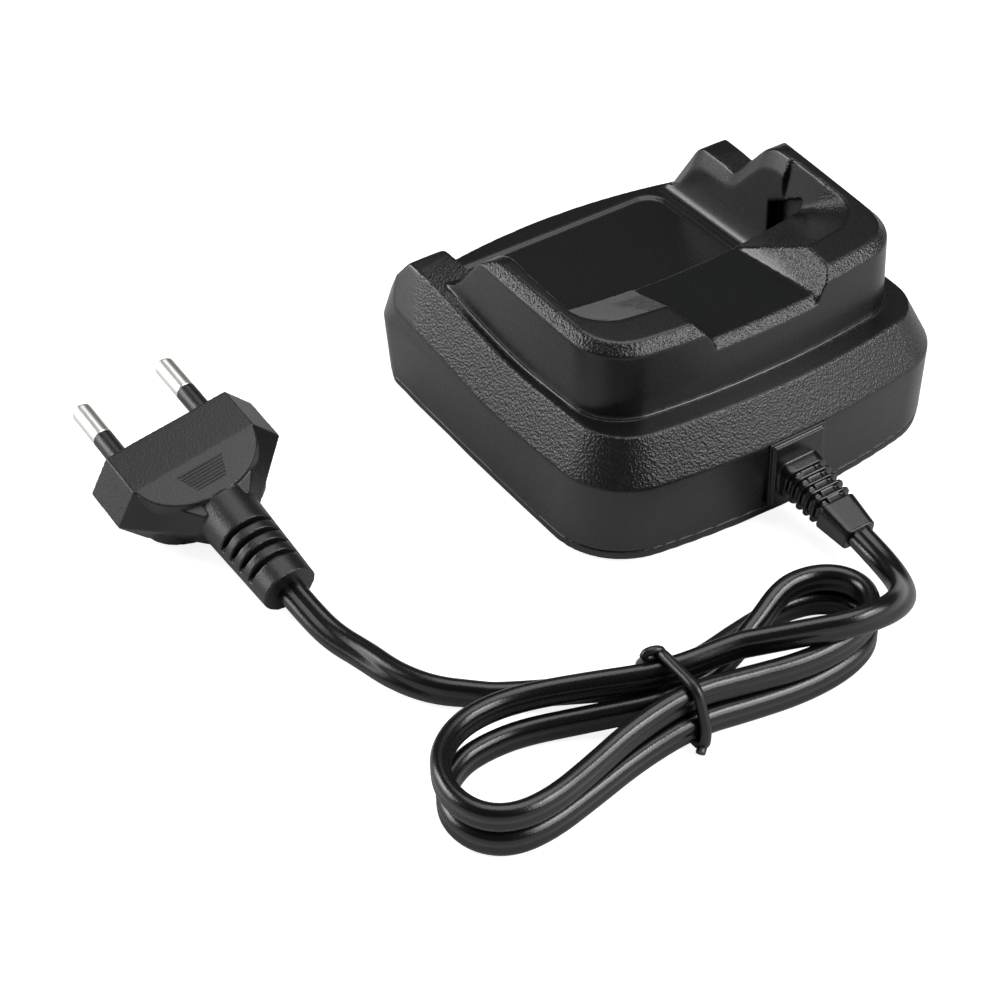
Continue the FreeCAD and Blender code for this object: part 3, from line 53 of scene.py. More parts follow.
# %% [markdown]
# ## Camera
# The photograph looks down on the charger from behind. Its camera was worked out from the outlines
# of the case and the plug: a place, three directions and a focal length. A camera looks along its
# own -Z, so the matrix holds the directions right, up and backwards as its columns.

# %% Camera
CAMERA_PLACE = Vector((0.21795, 0.28527, 0.27644))
CAMERA_RIGHT = Vector((-0.831854, 0.554344, -0.026878))
CAMERA_UP = Vector((-0.374766, -0.525339, 0.763917))
CAMERA_FORWARD = Vector((-0.409353, -0.64554, -0.644754))
LENS, SENSOR_WIDTH = 83.275, 36.0

camera = bpy.data.objects.new("camera", bpy.data.cameras.new("camera"))
camera.data.lens = LENS
camera.data.sensor_width = SENSOR_WIDTH
camera.data.clip_start = 0.01
axes = Matrix((CAMERA_RIGHT, CAMERA_UP, -CAMERA_FORWARD)).transposed()
camera.matrix_world = Matrix.Translation(CAMERA_PLACE) @ axes.to_4x4()
bpy.context.collection.objects.link(camera)
bpy.context.scene.camera = camera
print("camera lens", camera.data.lens)

# %% [markdown]
# ## The cord's route
# One flat twin cord runs from the strain relief's boot, winds two piled turns drawn in by a tie,
# and goes on to the plug. The CAD's round tube follows the same route. Here the turns lie a little
# higher on one another, because the flat cord stands on edge. Lines typed point by point would
# show kinks, so a formula gives the turns and a NURBS spline of order 3 smooths them. The order is
# set after the points: set before, it stays at 2, which is straight runs.

# %% Sizes of the hank, in millimetres
# The waist's place along X and Y, and how far the loops reach from it to each side
HANK_MIDDLE, WAIST_PLACE = 50.8, 73.6
LEFT_REACH, RIGHT_REACH = 43.2, 40.8
# Half width of the waist, what each loop adds to it, and the loops' bend and slant
WAIST, LEFT_BULGE, RIGHT_BULGE = 5.0, 20.0, 11.5
LEFT_SWAY, LEAN = 3.9, 1.5
# The cord's section, and the distance of two strands beside, above and in the groove of another
CORD_WIDE, CORD_THICK = 5.2, 3.3
BESIDE, ABOVE = 3.9, 5.5
GROOVE = ABOVE * math.sqrt(0.75)
# How far strands spread where they cross, rise at the waist, and stay off the floor
SPREAD, LIFT, FLOOR_GAP = 2.5, 2.0, 0.1
FIRST_ANGLE, LAST_ANGLE, ANGLE_STEP = 90, 825, 15


def blend(a, b, k):
    """Smooth step from a to b while k goes from 0 to 1."""
    k = min(max(k, 0.0), 1.0)
    return a + (b - a) * (3 * k * k - 2 * k * k * k)


# %% The hank's formula
def hank_line(angle):
    """Plan place of the pile's middle; 90 degrees is the waist's far side, 180 the left end."""
    c = math.cos(math.radians(angle))
    u, left = abs(c), c < 0
    x = HANK_MIDDLE - (LEFT_REACH if left else RIGHT_REACH) * c
    reach = WAIST + (LEFT_BULGE if left else RIGHT_BULGE) * u ** 1.3
    sway = LEFT_SWAY * math.sin(math.pi * u) if left else 0.0
    return Vector((x, WAIST_PLACE - LEAN * u - sway - reach * math.sin(math.radians(angle)), 0))


def hank_offset(angle):
    """How far the cord lies aside of the pile's middle, and how high above the lowest row.

    The first turn rests on the second: in its groove at the waist, on top of it at the ends. From
    395 to 540 degrees it comes down beside the pile, and the second turn lies on the floor.
    """
    if angle < 180:
        return blend(BESIDE / 2, 0, (angle - 130) / 50), blend(GROOVE, ABOVE, (angle - 120) / 60)
    if angle < 270:
        return blend(0, BESIDE / 2, (angle - 225) / 45), blend(ABOVE, GROOVE, (angle - 225) / 45)
    if angle < 395:
        return blend(BESIDE / 2, 0, (angle - 270) / 45), blend(GROOVE, ABOVE, (angle - 270) / 45)
    if angle < 540:
        fall = blend(0, math.pi / 2, (angle - 395) / 45)
        away = blend(1.0, 1.1, math.sin(2 * fall))
        side = BESIDE * away * math.sin(fall) + blend(0, SPREAD / 2, (angle - 450) / 20)
        return side * blend(1, 0, (angle - 490) / 50), ABOVE * away * math.cos(fall)
    if angle > 790:
        return -blend(0, SPREAD, (angle - 790) / 50), 0.0
    return 0.0, 0.0


def hank_point(angle):
    """Centre of the cord in the hank; the angle grows by 360 degrees for each turn."""
    along = hank_line(angle + 1) - hank_line(angle - 1)
    inward = Vector((-along.y, along.x, 0)).normalized()
    side, top = hank_offset(angle)
    u = abs(math.cos(math.radians(angle)))
    lift = LIFT * max(0.0, 1 - (u / 0.4) ** 2) ** 2
    return hank_line(angle) + inward * side + Vector((0, 0, CORD_WIDE / 2 + FLOOR_GAP + top + lift))


# %% The whole route
BOOT_DROP = math.radians(10.0)
BOOT_ALONG = Vector((0, math.cos(BOOT_DROP), -math.sin(BOOT_DROP)))
BOOT_START = Vector((0, 42.3, 9.2))
BOOT_END = BOOT_START + BOOT_ALONG * 17.6
FEED = [BOOT_END, BOOT_END + BOOT_ALONG * 6.4] + [Vector(p) for p in (
    (2.4, 73.2, 6.2), (6.9, 79.0, 9.6), (13.5, 82.6, 12.9),
    (21.0, 82.4, 13.6), (28.2, 78.2, 12.2), (35.4, 74.3, 11.0))]

PLUG_FACE = Vector((90.2, -28.2, 10.8))
PLUG_TURN = Euler([math.radians(a) for a in (-8.9, -9.0, -87.8)], "XYZ").to_matrix()
PLUG_HEADING = PLUG_TURN @ Vector((1, 0, 0))
PLUG_LENGTH = 40.5
PLUG_TAIL = PLUG_FACE - PLUG_HEADING * PLUG_LENGTH
LEAD = [Vector(p) for p in (
    (75.0, 51.0, 2.7), (80.6, 45.9, 2.7), (84.0, 39.0, 2.5), (85.5, 31.5, 2.3), (87.5, 24.8, 2.3))]
LEAD += [PLUG_TAIL - PLUG_HEADING * 6.6, PLUG_TAIL]

enter = (FEED[-1] - FEED[-2]).normalized() * CORD_THICK
leave = (LEAD[1] - LEAD[0]).normalized() * CORD_THICK
route_points = FEED + [FEED[-1] + enter]
route_points += [hank_point(a) for a in range(FIRST_ANGLE, LAST_ANGLE + 1, ANGLE_STEP)]
route_points += [LEAD[0] - leave] + LEAD
print("plug heading", [round(c, 4) for c in PLUG_HEADING], "tail", [round(c, 2) for c in PLUG_TAIL])


# %% The route as a NURBS spline
def nurbs_line(points, resolution=8):
    """Points read along the smooth line that a NURBS spline draws through its control points."""
    data = bpy.data.curves.new("route", "CURVE")
    data.dimensions = "3D"
    spline = data.splines.new("NURBS")
    spline.points.add(len(points) - 1)
    for control, point in zip(spline.points, points):
        control.co = (*(point * MM), 1.0)
    spline.order_u = 3
    spline.use_endpoint_u = True
    spline.resolution_u = resolution
    holder = bpy.data.objects.new("route", data)
    bpy.context.collection.objects.link(holder)
    mesh = bpy.data.meshes.new_from_object(holder)
    line = [v.co.copy() for v in mesh.vertices]
    bpy.data.objects.remove(holder)
    bpy.data.meshes.remove(mesh)
    return line


cord_line = nurbs_line(route_points)
cord_length = sum((b - a).length for a, b in zip(cord_line, cord_line[1:]))
print("cord line: %d points, %.1f mm" % (len(cord_line), cord_length / MM))

# %% [markdown]
# ## Floor and soft light
# The photograph is a catalogue picture: a white ground and large soft lights. Black plastic shows
# itself only by what it mirrors. So each lamp stands where the camera's look is thrown by a slope:
# two low boxes for the shoulder's slopes, two higher ones for the broken edges, and one above. The
# world and what lies behind the camera stay dim, and so does the round corner that faces it.

# %% Floor and lamps
def soft_lamp(name, place, target, size, power):
    """Area lamp at a place, turned towards a target; all in metres and watts."""
    data = bpy.data.lights.new(name, "AREA")
    data.shape = "RECTANGLE"
    data.size, data.size_y = size
    data.energy = power
    lamp = bpy.data.objects.new(name, data)
    lamp.location = place
    lamp.rotation_euler = (Vector(target) - Vector(place)).to_track_quat("-Z", "Y").to_euler()
    lamp.visible_camera = False
    bpy.context.collection.objects.link(lamp)


FLOOR_HALF = 4
corners = [(x * FLOOR_HALF, y * FLOOR_HALF, 0) for x, y in ((-1, -1), (1, -1), (1, 1), (-1, 1))]
floor_mesh = bpy.data.meshes.new("floor")
floor_mesh.from_pydata(corners, [], [(0, 1, 2, 3)])
floor = bpy.data.objects.new("floor", floor_mesh)
bpy.context.collection.objects.link(floor)

world = bpy.data.worlds.new("studio")
bpy.context.scene.world = world
world.use_nodes = True
sky = world.node_tree.nodes["Background"]
sky.inputs["Color"].default_value = (0.95, 0.98, 1.0, 1.0)
sky.inputs["Strength"].default_value = 0.07
bpy.context.scene.view_settings.view_transform = "Standard"
soft_lamp("top_lamp", (-0.15, -0.1, 0.95), (0.02, 0.03, 0.0), (0.8, 0.8), 6.0)
soft_lamp("left_lamp", (0.75, -0.62, 0.32), (0.03, 0.0, 0.02), (0.8, 0.5), 6.0)
soft_lamp("right_lamp", (-0.42, 0.75, 0.36), (0.0, 0.03, 0.02), (0.7, 0.45), 5.0)
soft_lamp("high_lamp", (-0.42, 0.62, 0.72), (0.0, 0.03, 0.02), (0.5, 0.3), 6.0)
soft_lamp("edge_lamp", (0.66, -0.66, 0.50), (0.03, 0.0, 0.03), (0.5, 0.25), 3.0)

# %% [markdown]
# ## Finishes
# Nearly everything is black plastic, so the finish lies in relief and sheen rather than in colour.
# A node group holds each surface effect once. It puts out a bump normal and a small variation,
# and the Principled shader stays in the material. Patterns read Object coordinates, which keep
# their real size on every piece.

# %% Helpers for node trees
def link(tree, source, socket_out, target, socket_in):
    """Join an output of one node to an input of another."""
    tree.links.new(source.outputs[socket_out], target.inputs[socket_in])


def read(tree, name):
    """Output of a value that the mesh carries."""
    node = tree.nodes.new("ShaderNodeAttribute")
    node.attribute_name = name
    return node.outputs["Fac"]


def window(tree, value, low, high, at_low, at_high):
    """Output that goes from one value to another while the input passes from low to high."""
    node = tree.nodes.new("ShaderNodeMapRange")
    numbers = {"From Min": low, "From Max": high, "To Min": at_low, "To Max": at_high}
    for socket, number in numbers.items():
        node.inputs[socket].default_value = number
    tree.links.new(value, node.inputs["Value"])
    return node.outputs["Result"]


def calculate(tree, operation, a, b):
    """Output of a sum of two outputs."""
    node = tree.nodes.new("ShaderNodeMath")
    node.operation = operation
    tree.links.new(a, node.inputs[0])
    tree.links.new(b, node.inputs[1])
    return node.outputs[0]


# %% Surface effects
MIX_A, MIX_B, MIX_RESULT = 6, 7, 2  # the colour sockets of a Mix node
DARKER, LIGHTER = 0.82, 1.22
SPECKLE_RANGE, SHINIEST = (0.3, 0.7), 0.02
CELL_SMOOTHNESS, SPECKLE_DETAIL, SPECKLE_SHARE = 0.55, 3.0, 0.6


def surface_group(name, coarse, fine, depth):
    """Node group of moulded relief: cells of one size, speckle of another, as a bump normal."""
    tree = bpy.data.node_groups.new(name, "ShaderNodeTree")
    tree.interface.new_socket("Strength", in_out="INPUT", socket_type="NodeSocketFloat")
    tree.interface.new_socket("Normal", in_out="OUTPUT", socket_type="NodeSocketVector")
    tree.interface.new_socket("Variation", in_out="OUTPUT", socket_type="NodeSocketFloat")
    entry, leave_node = tree.nodes.new("NodeGroupInput"), tree.nodes.new("NodeGroupOutput")
    place = tree.nodes.new("ShaderNodeTexCoord")
    cells = tree.nodes.new("ShaderNodeTexVoronoi")
    cells.feature = "SMOOTH_F1"
    cells.inputs["Scale"].default_value = coarse
    cells.inputs["Smoothness"].default_value = CELL_SMOOTHNESS
    speckle = tree.nodes.new("ShaderNodeTexNoise")
    speckle.inputs["Scale"].default_value = fine
    speckle.inputs["Detail"].default_value = SPECKLE_DETAIL
    mix = tree.nodes.new("ShaderNodeMath")
    mix.operation = "MULTIPLY_ADD"
    mix.inputs[1].default_value = SPECKLE_SHARE
    bump = tree.nodes.new("ShaderNodeBump")
    bump.inputs["Distance"].default_value = depth
    link(tree, place, "Object", cells, "Vector")
    link(tree, place, "Object", speckle, "Vector")
    link(tree, speckle, "Fac", mix, 0)
    link(tree, cells, "Distance", mix, 2)
    link(tree, mix, 0, bump, "Height")
    link(tree, entry, "Strength", bump, "Strength")
    link(tree, bump, "Normal", leave_node, "Normal")
    link(tree, speckle, "Fac", leave_node, "Variation")
    return tree


leather_grain = surface_group("leather_grain", 2200.0, 4600.0, 0.00015)
fine_matte = surface_group("fine_matte", 3200.0, 9000.0, 0.00004)
drawn_metal = surface_group("drawn_metal", 5200.0, 14000.0, 0.00001)


def finish(name, colour, roughness, group, strength, metallic=0.0, spread=0.06, **sockets):
    """Material of one colour family whose relief, colour and roughness vary over the surface."""
    material = bpy.data.materials.new(name)
    material.use_nodes = True
    tree = material.node_tree
    shader = tree.nodes["Principled BSDF"]
    relief = tree.nodes.new("ShaderNodeGroup")
    relief.node_tree = group
    relief.inputs["Strength"].default_value = strength
    tone = tree.nodes.new("ShaderNodeMix")
    tone.data_type = "RGBA"
    tone.inputs[MIX_A].default_value = (*[c * DARKER for c in colour], 1.0)
    tone.inputs[MIX_B].default_value = (*[min(c * LIGHTER, 1.0) for c in colour], 1.0)
    rough = window(tree, relief.outputs["Variation"], *SPECKLE_RANGE,
                   max(roughness - spread, SHINIEST), roughness + spread)
    link(tree, relief, "Variation", tone, 0)
    link(tree, tone, MIX_RESULT, shader, "Base Color")
    tree.links.new(rough, shader.inputs["Roughness"])
    link(tree, relief, "Normal", shader, "Normal")
    shader.inputs["Metallic"].default_value = metallic
    for socket, value in sockets.items():
        shader.inputs[socket.replace("_", " ")].default_value = value
    return material


# %% [markdown]
# ## The case's own finish
# The case is one black plastic with two textures from its mould: leather grain on the shoulder, the
# ears and the broken top edges, and a satin skin in the pocket and on the lower wall. The mesh
# carries three values at each point. grain is the share of grain there. rim is 1 where an edge is
# broken, and drop is the depth below that edge in millimetres. The strip along the edge has crisp
# borders, which the mesh's points are too far apart to draw, so the material cuts it out by drop.

# %% Case material
EDGE_START, EDGE_END, EDGE_BLUR, RIM_BLUR = 0.05, 1.75, 0.10, (0.4, 0.6)
SATIN_STRENGTH, GRAIN_STRENGTH = 0.05, 0.80


def case_finish():
    """Black plastic whose grain follows the values grain, rim and drop of the mesh."""
    material = finish("case_black", (0.0042, 0.0044, 0.0048), 0.31, leather_grain, 0.0)
    tree = material.node_tree
    relief = next(n for n in tree.nodes if n.type == "GROUP")
    drop = read(tree, "drop")
    strip = window(tree, drop, EDGE_START, EDGE_START + EDGE_BLUR, 0.0, 1.0)
    strip_end = window(tree, drop, EDGE_END - EDGE_BLUR, EDGE_END, 1.0, 0.0)
    strip = calculate(tree, "MULTIPLY", strip, strip_end)
    near_rim = window(tree, read(tree, "rim"), *RIM_BLUR, 0.0, 1.0)
    strip = calculate(tree, "MULTIPLY", strip, near_rim)
    grained = calculate(tree, "MAXIMUM", read(tree, "grain"), strip)
    strength = window(tree, grained, 0.0, 1.0, SATIN_STRENGTH, GRAIN_STRENGTH)
    tree.links.new(strength, relief.inputs["Strength"])
    return material


case_black = case_finish()

# %% The other finishes
FINISHES = {
    "cover_plastic": finish("cover_matte", (0.0050, 0.0050, 0.0055), 0.40, fine_matte, 0.6),
    "foot_rubber": finish("foot_rubber", (0.022, 0.022, 0.022), 0.82, fine_matte, 1.0),
    "screw_steel": finish("screw_steel", (0.55, 0.55, 0.57), 0.30, drawn_metal, 0.5, 1.0),
    "plate_film": finish("plate_film", (0.045, 0.045, 0.048), 0.38, fine_matte, 0.3),
    "board_laminate": finish("board_laminate", (0.015, 0.105, 0.040), 0.42, fine_matte, 0.5),
    "ferrite": finish("ferrite", (0.050, 0.050, 0.054), 0.62, fine_matte, 1.0),
    "winding_tape": finish("winding_tape", (0.62, 0.44, 0.06), 0.30, drawn_metal, 0.6),
    "capacitor_sleeve": finish("capacitor_sleeve", (0.020, 0.028, 0.060), 0.24, drawn_metal, 0.4),
    "fuse_glass": finish("fuse_glass", (0.80, 0.84, 0.84), 0.08, drawn_metal, 0.2,
                         Transmission_Weight=0.8),
    "black_epoxy": finish("black_epoxy", (0.016, 0.016, 0.016), 0.58, fine_matte, 0.9),
    "lamp_lens": finish("lamp_lens", (0.70, 0.76, 0.70), 0.22, drawn_metal, 0.3,
                        Subsurface_Weight=0.2),
    "light_pipe": finish("light_pipe", (0.86, 0.88, 0.88), 0.06, drawn_metal, 0.2,
                         Transmission_Weight=0.85),
    "block_plastic": finish("block_plastic", (0.030, 0.030, 0.032), 0.48, fine_matte, 0.8),
    "contact_metal": finish("contact_gold", (0.86, 0.62, 0.26), 0.20, drawn_metal, 0.4, 1.0),
    "spring_steel": finish("spring_steel", (0.60, 0.60, 0.61), 0.22, drawn_metal, 0.6, 1.0),
    "cord_vinyl": finish("cord_vinyl", (0.0035, 0.0036, 0.0040), 0.24, fine_matte, 0.3),
    "wire_vinyl": finish("wire_vinyl", (0.22, 0.035, 0.020), 0.36, fine_matte, 0.4),
    "tie_plastic": finish("tie_plastic", (0.0045, 0.0048, 0.0048), 0.34, fine_matte, 0.5),
    "plug_vinyl": finish("plug_vinyl", (0.0050, 0.0051, 0.0055), 0.36, fine_matte, 0.9),
    "pin_nickel": finish("pin_nickel", (0.80, 0.79, 0.76), 0.34, drawn_metal, 0.3, 1.0,
                         spread=0.04),
    "sleeve_plastic": finish("sleeve_plastic", (0.0055, 0.0055, 0.0060), 0.36, fine_matte, 0.5),
    "housing_plastic": case_black,
}
slot_of = {row["node"]: row["material_slot"] for row in frame["record"]["subparts"]}
for name, node in frame["nodes"].items():
    node.data.materials.clear()
    node.data.materials.append(FINISHES[slot_of[name]])
print("finishes:", len(FINISHES))

# %% [markdown]
# ## The white ground
# The photograph's ground is pure white and has no shadow. A white floor would also show as a bright
# mirror image in every black wall, far brighter than the photograph has it. So the floor glows for
# the camera alone, and to all other rays it is a light grey.

# %% Floor material
FLOOR_GLOW, FLOOR_DARK, FLOOR_LIGHT = 0.86, 0.50, 0.58

floor_white = finish("floor_white", (0.93, 0.93, 0.93), 0.75, fine_matte, 0.05)
floor_tree = floor_white.node_tree
floor_shader = floor_tree.nodes["Principled BSDF"]
floor_shader.inputs["Emission Color"].default_value = (1.0, 1.0, 1.0, 1.0)
rays = floor_tree.nodes.new("ShaderNodeLightPath")
glow = window(floor_tree, rays.outputs["Is Camera Ray"], 0.0, 1.0, 0.0, FLOOR_GLOW)
floor_tree.links.new(glow, floor_shader.inputs["Emission Strength"])
tone = next(n for n in floor_tree.nodes if n.type == "MIX")
for socket, grey in ((MIX_A, FLOOR_DARK), (MIX_B, FLOOR_LIGHT)):
    tone.inputs[socket].default_value = (grey, grey, grey, 1.0)
floor.data.materials.append(floor_white)
print("floor glow", FLOOR_GLOW)

# %% [markdown]
# ## Soft edges on moulded pieces
# A mould never leaves a knife edge, and on black plastic the rounded edges carry all the light.
# A Bevel would stumble over the CAD mesh's long thin triangles. So a merged copy is rebuilt from
# small even squares with Remesh, its edges are rounded by Smooth, and Decimate takes away what
# the flat places don't need. The CAD node itself stays as it is.

# %% Helpers for pieces
MERGE_DISTANCE = 2e-6
MOST_TRIANGLES = 190000


def show(mesh, name, node_names, material, body="case"):
    """Make a mesh a finished piece that stands for CAD nodes."""
    piece = bpy.data.objects.new(name, mesh)
    bpy.context.collection.objects.link(piece)
    mesh.materials.clear()
    mesh.materials.append(material)
    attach(piece, body)
    if node_names:
        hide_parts(*node_names)
    return piece


def new_mesh(name, verts, faces, edges=()):
    """Mesh from points in millimetres, its faces turned outwards."""
    mesh = bpy.data.meshes.new(name)
    mesh.from_pydata([Vector(v) * MM for v in verts], list(edges), faces)
    if faces:
        bm = bmesh.new()
        bm.from_mesh(mesh)
        bmesh.ops.recalc_face_normals(bm, faces=bm.faces)
        bm.to_mesh(mesh)
        bm.free()
    return mesh


def evaluated(mesh, name, *modifiers):
    """The mesh after modifiers, each given as its type and its settings."""
    holder = bpy.data.objects.new("holder", mesh)
    bpy.context.collection.objects.link(holder)
    for kind, settings in modifiers:
        modifier = holder.modifiers.new(kind.lower(), kind)
        if kind == "NODES":
            modifier.node_group = settings["tree"]
            for socket, value in settings["inputs"].items():
                modifier[socket_id(settings["tree"], socket)] = value
            continue
        for key, value in settings.items():
            setattr(modifier, key, value)
    bpy.context.view_layer.update()
    finished = holder.evaluated_get(bpy.context.evaluated_depsgraph_get())
    result = bpy.data.meshes.new_from_object(finished)
    bpy.data.objects.remove(holder)
    result.name = name
    result.shade_smooth()
    return result


def soften(mesh, name, voxel, rounds):
    """Rebuild a closed mesh from even squares, round its edges, and keep it within the limit.

    voxel is the squares' size in millimetres, rounds is how often Smooth goes over them.
    """
    even = evaluated(mesh, name, ("REMESH", {"mode": "VOXEL", "voxel_size": voxel * MM}),
                     ("SMOOTH", {"factor": 0.5, "iterations": rounds}))
    count = 2 * len(even.polygons)
    if count > MOST_TRIANGLES:
        even = evaluated(even, name, ("DECIMATE", {"ratio": MOST_TRIANGLES / count}))
    print(name, "faces", len(even.polygons))
    return even


def joined(meshes, name, merge=False):
    """One smooth mesh from several; doubled points are merged where asked."""
    bm = bmesh.new()
    for mesh in meshes:
        bm.from_mesh(mesh)
    if merge:
        bmesh.ops.remove_doubles(bm, verts=bm.verts, dist=MERGE_DISTANCE)
    result = bpy.data.meshes.new(name)
    bm.to_mesh(result)
    bm.free()
    result.shade_smooth()
    return result


def merged(node_name, extra=()):
    """Merged copy of a CAD node's mesh, with further closed meshes beside it."""
    return joined([frame["nodes"][node_name].data, *extra], node_name + "_merged", merge=True)


# %% [markdown]
# ## Round rods along a path
# The bead at the wall's foot, the plug's grip ribs and the cord's tie are thin round rods along a
# path. One node group makes them: it turns edges into a curve, spaces its points evenly and sweeps
# a circle along it.

# %% Rod nodes
def socket_id(tree, name):
    """Identifier of a node group's named input."""
    inputs = [i for i in tree.interface.items_tree if i.in_out == "INPUT"]
    return next(i.identifier for i in inputs if i.name == name)


def rod_nodes():
    """Node group that makes a rod from a mesh of edges."""
    tree = bpy.data.node_groups.new("round_rod", "GeometryNodeTree")
    tree.interface.new_socket("Geometry", in_out="INPUT", socket_type="NodeSocketGeometry")
    tree.interface.new_socket("Radius", in_out="INPUT", socket_type="NodeSocketFloat")
    tree.interface.new_socket("Step", in_out="INPUT", socket_type="NodeSocketFloat")
    tree.interface.new_socket("Finish", in_out="INPUT", socket_type="NodeSocketMaterial")
    tree.interface.new_socket("Geometry", in_out="OUTPUT", socket_type="NodeSocketGeometry")
    entry, leave_node = tree.nodes.new("NodeGroupInput"), tree.nodes.new("NodeGroupOutput")
    curve = tree.nodes.new("GeometryNodeMeshToCurve")
    even = tree.nodes.new("GeometryNodeResampleCurve")
    even.mode = "LENGTH"
    ring = tree.nodes.new("GeometryNodeCurvePrimitiveCircle")
    ring.inputs["Resolution"].default_value = 12
    sweep = tree.nodes.new("GeometryNodeCurveToMesh")
    sweep.inputs["Fill Caps"].default_value = True
    real = tree.nodes.new("GeometryNodeRealizeInstances")
    paint = tree.nodes.new("GeometryNodeSetMaterial")
    link(tree, entry, "Geometry", curve, "Mesh")
    link(tree, curve, "Curve", even, "Curve")
    link(tree, entry, "Step", even, "Length")
    link(tree, entry, "Radius", ring, "Radius")
    link(tree, even, "Curve", sweep, "Curve")
    link(tree, ring, "Curve", sweep, "Profile Curve")
    link(tree, sweep, "Mesh", real, "Geometry")
    link(tree, real, "Geometry", paint, "Geometry")
    link(tree, entry, "Finish", paint, "Material")
    link(tree, paint, "Geometry", leave_node, "Geometry")
    return tree


round_rod = rod_nodes()


def rod(points, name, radius, step, material, closed=False):
    """Rod of a radius in millimetres along points in millimetres."""
    count = len(points)
    edges = [(i, (i + 1) % count) for i in range(count if closed else count - 1)]
    inputs = {"Radius": radius * MM, "Step": step * MM, "Finish": material}
    return evaluated(new_mesh(name + "_path", points, [], edges), name,
                     ("NODES", {"tree": round_rod, "inputs": inputs}))


# %% [markdown]
# ## The case
# The shell is the CAD housing with softened edges. Its grain value is worked out from where a
# point lies and which way it faces, because the mould's texture follows the surfaces and not the
# height alone: the band rises towards the ears, and the front corners were left smooth.

# %% Where the grain lies, in millimetres
SHOULDER_FOOT, SHOULDER_TOP = 17.6, 26.0
RISE_START, RISE_RUN, RISE_HEIGHT = 11.0, 40.0, 4.7
WALL_TOP, WALL_SLOPE = 42.6, 0.054
CLIP_HALF_WIDTH, LIP_TOP = 11.65, 36.6
# The band's borders along its foot and top, and the border at the front corner as (z, y)
BAND_LOW = SHOULDER_FOOT - 0.3, SHOULDER_FOOT + 0.5
BAND_HIGH = SHOULDER_TOP + 0.1, SHOULDER_TOP + 0.5
BAND_SIDE, BAND_BACK = 29.5, 12.0
GRAIN_FRONT = [(15.0, -17.0), (18.0, -18.0), (22.0, -20.0), (26.0, -22.0), (32.0, -25.0)]
FRONT_BLUR = 2.0
# The ears' flat tops
EAR_SIDE = 30.2
EAR_LEVEL = (28.2, 28.9), (32.2, 32.6)
EAR_ALONG = (-24.5, -22.5), (-13.0, -11.0)
# The slopes beside the belt clip's channel, and the lead-in of the pocket's top edge
REAR_PART = 9.0
CHANNEL_FROM, CHANNEL_TO, CHANNEL_LEVEL = 10.0, 19.0, (35.5, 37.0)
LEAD_IN_FROM, LEAD_IN_LEVEL, LEAD_IN_SHARE = 17.0, (35.0, 37.5), 0.8
# The broken edges: where the channel's lip is, and how deep and how far forward the others reach
LIP_SIDE, LIP_FROM, LIP_BELOW = CLIP_HALF_WIDTH + 0.4, 26.0, 38.0
RIM_DEPTH, RIM_FRONT = 4.0, -7.0


def ramp(value, low, high):
    """0 below low, 1 above high, smooth between."""
    return blend(0.0, 1.0, (value - low) / (high - low))


def between(value, rise, fall):
    """1 between two borders and 0 outside, smooth along each border's own two limits."""
    return ramp(value, *rise) * (1 - ramp(value, *fall))


def front_limit(z):
    """Place along Y where the grain gives way to the smooth front corner, at a height."""
    for (z0, y0), (z1, y1) in zip(GRAIN_FRONT, GRAIN_FRONT[1:]):
        if z <= z1:
            return y0 + (y1 - y0) * max(z - z0, 0.0) / (z1 - z0)
    return GRAIN_FRONT[-1][1]


def in_millimetres(place):
    """A place on the case in millimetres, both sides of the case taken as one."""
    return abs(place.x) / MM, place.y / MM, place.z / MM


def outward(place, facing):
    """How far a surface faces away from the case's middle plane."""
    return facing.x * (1 if place.x > 0 else -1)


def grain_at(place, facing):
    """How much grain the mould left at a place that faces a way, from 0 to 1."""
    x, y, z = in_millimetres(place)
    leaning = between(facing.z, (0.10, 0.20), (0.90, 0.97))
    shares = [0.0]
    if x > BAND_SIDE or y > BAND_BACK:
        level = z - RISE_HEIGHT * blend(0, 1, (RISE_START - y) / RISE_RUN)
        front = ramp(y, front_limit(z) - FRONT_BLUR, front_limit(z) + FRONT_BLUR)
        shares.append(between(level, BAND_LOW, BAND_HIGH) * leaning * front)
    if x > EAR_SIDE:
        flat = between(z, *EAR_LEVEL) * ramp(facing.z, 0.93, 0.97)
        shares.append(flat * between(y, *EAR_ALONG))
    if y > REAR_PART and CHANNEL_FROM < x < CHANNEL_TO:
        slope = between(facing.z, (0.2, 0.4), (0.90, 0.96))
        shares.append(ramp(z, *CHANNEL_LEVEL) * slope)
    if y > REAR_PART and x > LEAD_IN_FROM:
        inside = ramp(-outward(place, facing), 0.25, 0.45)
        shares.append(LEAD_IN_SHARE * ramp(z, *LEAD_IN_LEVEL) * leaning * inside)
    return max(shares)


def drop_at(place):
    """How far a place lies below the top edge near it, in millimetres."""
    x, y, z = in_millimetres(place)
    if x < LIP_SIDE and y > LIP_FROM and z < LIP_BELOW:
        return LIP_TOP - z
    return WALL_TOP - WALL_SLOPE * y - z


def rim_at(place, facing):
    """1 where the edge near a place is broken: outside the wall, behind its rounded peaks."""
    looks_out = max(outward(place, facing), facing.y) > 0.1
    return 1.0 if drop_at(place) < RIM_DEPTH and place.y / MM > RIM_FRONT and looks_out else 0.0


# %% Case shell
case_mesh = soften(merged("top_housing"), "case_shell", 0.34, 3)
normals = [n.vector.copy() for n in case_mesh.vertex_normals]
places = [v.co.copy() for v in case_mesh.vertices]
for name, values in (("grain", [grain_at(p, n) for p, n in zip(places, normals)]),
                     ("rim", [rim_at(p, n) for p, n in zip(places, normals)]),
                     ("drop", [drop_at(p) for p in places])):
    case_mesh.attributes.new(name, "FLOAT", "POINT").data.foreach_set("value", values)
show(case_mesh, "case_shell", ["top_housing"], case_black)

